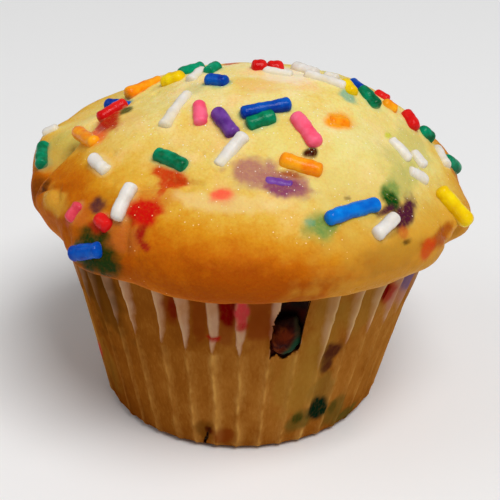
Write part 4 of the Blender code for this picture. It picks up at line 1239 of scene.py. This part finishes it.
def build_paper(look):
    """The pleated sheet, thickened, with the torn place and the nick cut through it."""
    flutes = flute_azimuths()
    count = FLUTE_COLUMNS * len(flutes)
    azimuths = np.linspace(-math.pi, math.pi, count, endpoint=False)
    flat = CUP_FOOT_RADIUS - CUP_FOOT_CURVE
    angles = np.linspace(0, math.pi / 2, PAPER_FOOT_ROWS)
    heights = np.linspace(CUP_FOOT_CURVE, CUP_HEIGHT, PAPER_ROWS + 1)[1:]
    floor_radii = np.multiply(PAPER_FLOOR_RINGS, flat)
    radius = np.concatenate([floor_radii, flat + CUP_FOOT_CURVE * np.sin(angles), cup_radius(heights)])
    height = np.concatenate([0 * floor_radii, CUP_FOOT_CURVE * (1 - np.cos(angles)), heights])
    azimuth, height = np.meshgrid(azimuths, height)
    radius = np.broadcast_to(radius[:, None], azimuth.shape)
    stand, standing, ridge = flute_shape(azimuth, height, flutes)
    stand = stand * smooth_step(flat * PAPER_FLOOR_RINGS[-1], CUP_FOOT_RADIUS, radius)
    plain = place(azimuth, radius, height)
    waves = SHEET_UNEVENNESS * noise(plain, SHEET_GRAIN, RIDGE_SEED + 5)
    stand = stand + waves * smooth_step(*SHEET_UNEVEN_FROM, height)
    points = place(azimuth, radius + stand, height).reshape(-1, 3)
    layer = lay_stains_light_and_shade(
        no_dye(height.shape), [*PAPER_STAINS_LIGHT_AND_SHADE, *back_paper_stains()], plain,
        lambda at, at_height: (cup_offset(azimuth, height, at), height - at_height),
        PAPER_STAIN_EDGE, PAPER_STAIN_SEED,
    )
    piece = make_piece(
        "paper_case", [*points, (0, 0, 0)],
        grid_faces(len(height), count) + fan_faces(0, count, len(points), True), look, "paper", ["paper_cup"],
        standing=[*standing.ravel(), 0], ridge=[*np.clip(ridge, 0, 1).ravel(), 0],
        tone=[*paper_tone(azimuth, height, plain).ravel(), MIDDLE_TONE],
        dye=[*layer.reshape(-1, 4), no_dye(())],
    )
    thicken = piece.modifiers.new("thickness", "SOLIDIFY")
    thicken.thickness, thicken.offset = SHEET_THICKNESS * MM, -1
    cut_away(piece, [
        ragged_prism("tear", TEAR_OUTLINE, TEAR_DEPTHS, look),
        ragged_prism("nick", NICK_OUTLINE, NICK_DEPTHS, look),
    ])


def build_lump(look):
    """The dark, glossy lump of melted sugar in the pit."""
    across, deep, tall = LUMP_HALF_SIZES
    azimuth = math.radians(LUMP_AZIMUTH)
    centre = place(azimuth, cup_radius(LUMP_HEIGHT) - LUMP_SINK, LUMP_HEIGHT)
    sideways = np.array([math.cos(azimuth), math.sin(azimuth), 0])
    outward = np.array([math.sin(azimuth), -math.cos(azimuth), 0])
    polar = np.linspace(0, math.pi, LUMP_LEVELS)[1:-1, None, None]
    angle = np.linspace(0, 2 * math.pi, LUMP_SIDES, endpoint=False)[:, None]
    unit = np.cos(angle) * sideways * across - np.sin(angle) * outward * deep
    unit = np.sin(polar) * unit - np.cos(polar) * np.array([0, 0, tall])
    body = centre + unit * (1 + layered_noise(centre + unit, LUMP_NOISE, LUMP_SEED))[..., None]
    points = np.vstack([body.reshape(-1, 3), centre - [0, 0, tall], centre + [0, 0, tall]])
    offset = points - centre
    x, z = offset @ sideways, offset[:, 2]
    layer = no_dye(z.shape)
    # The black at the lump's top is painted shadow under the crust's overhang.
    for dye, amount in (
        ("ember", 0.8 * smooth_step(1.6, 0.6, np.hypot(x + 0.3, z - 0.4))),
        ("black", 0.9 * smooth_step(1.2, 2.6, z)),
        ("sea_green", 0.95 * smooth_step(0.8, -0.6, z) * smooth_step(-0.6, 0.6, x - 0.7 * z - 1.6)),
        ("ash", 0.7 * smooth_step(0.9, 1.6, x) * smooth_step(-0.6, 0.4, z)),
    ):
        layer = lay_colour(layer, dye, amount)
    make_piece("melted_lump", points, tube_faces(LUMP_LEVELS - 2, LUMP_SIDES), look, "crust", dye=layer)


# ================================================================ stage, light and camera
def build_floor():
    look, tree, shader = new_material("floor")
    fill(tree, shader, Base_Color=(*FLOOR_COLOUR, 1), Roughness=FLOOR_ROUGHNESS)
    corners = [(x * FLOOR_REACH, y * FLOOR_REACH, 0) for x, y in ((-1, -1), (1, -1), (1, 1), (-1, 1))]
    floor = mesh_object("floor", corners, [(0, 1, 2, 3)], look)


def area_light(name, azimuth, elevation, size, power):
    """A square light aimed at the cupcake's middle, from this direction."""
    data = bpy.data.lights.new(name, "AREA")
    data.size, data.energy = size * MM, power
    lamp = link_object(name, data)
    across, up = math.radians(azimuth), math.radians(elevation)
    level = LIGHT_DISTANCE * math.cos(up) * MM
    height = (LIGHT_DISTANCE * math.sin(up) + AIM_HEIGHT) * MM
    lamp.location = (level * math.sin(across), -level * math.cos(across), height)
    lamp.rotation_euler = (math.pi / 2 - up, 0, across)


def build_lights():
    for light in LIGHTS:
        area_light(*light)
    world = bpy.data.worlds.new("studio")
    world.use_nodes = True
    fill(world.node_tree, world.node_tree.nodes["Background"], Color=(1, 1, 1, 1), Strength=WORLD_STRENGTH)
    bpy.context.scene.world = world


def build_camera():
    """The photograph's camera: level, aimed at the cupcake's axis, its frame shifted to match."""
    data = bpy.data.cameras.new("camera")
    data.sensor_width = SENSOR
    data.lens = FOCAL_PIXELS / PHOTO_SIZE * SENSOR
    data.shift_x = (PHOTO_SIZE / 2 - AIM_PIXEL[0]) / PHOTO_SIZE
    data.shift_y = (AIM_PIXEL[1] - PHOTO_SIZE / 2) / PHOTO_SIZE
    data.clip_start = CLIP_START * MM
    camera = link_object("camera", data)
    back, up = CAMERA_DISTANCE * math.cos(CAMERA_ELEVATION), CAMERA_DISTANCE * math.sin(CAMERA_ELEVATION)
    camera.location = (0, -back * MM, (AIM_HEIGHT + up) * MM)
    camera.rotation_euler = (math.pi / 2 - CAMERA_ELEVATION, 0, 0)
    bpy.context.scene.camera = camera


def main():
    sprinkles = every_sprinkle()
    build_cake(crust_material(), sprinkles)
    for colour in SPRINKLE_PAINT:
        build_sprinkles(colour, sprinkle_material(colour), sprinkles)
    build_paper(paper_material())
    build_lump(baked_lump_material())
    build_floor()
    build_lights()
    build_camera()
    bpy.context.scene.view_settings.view_transform = "Standard"


main()
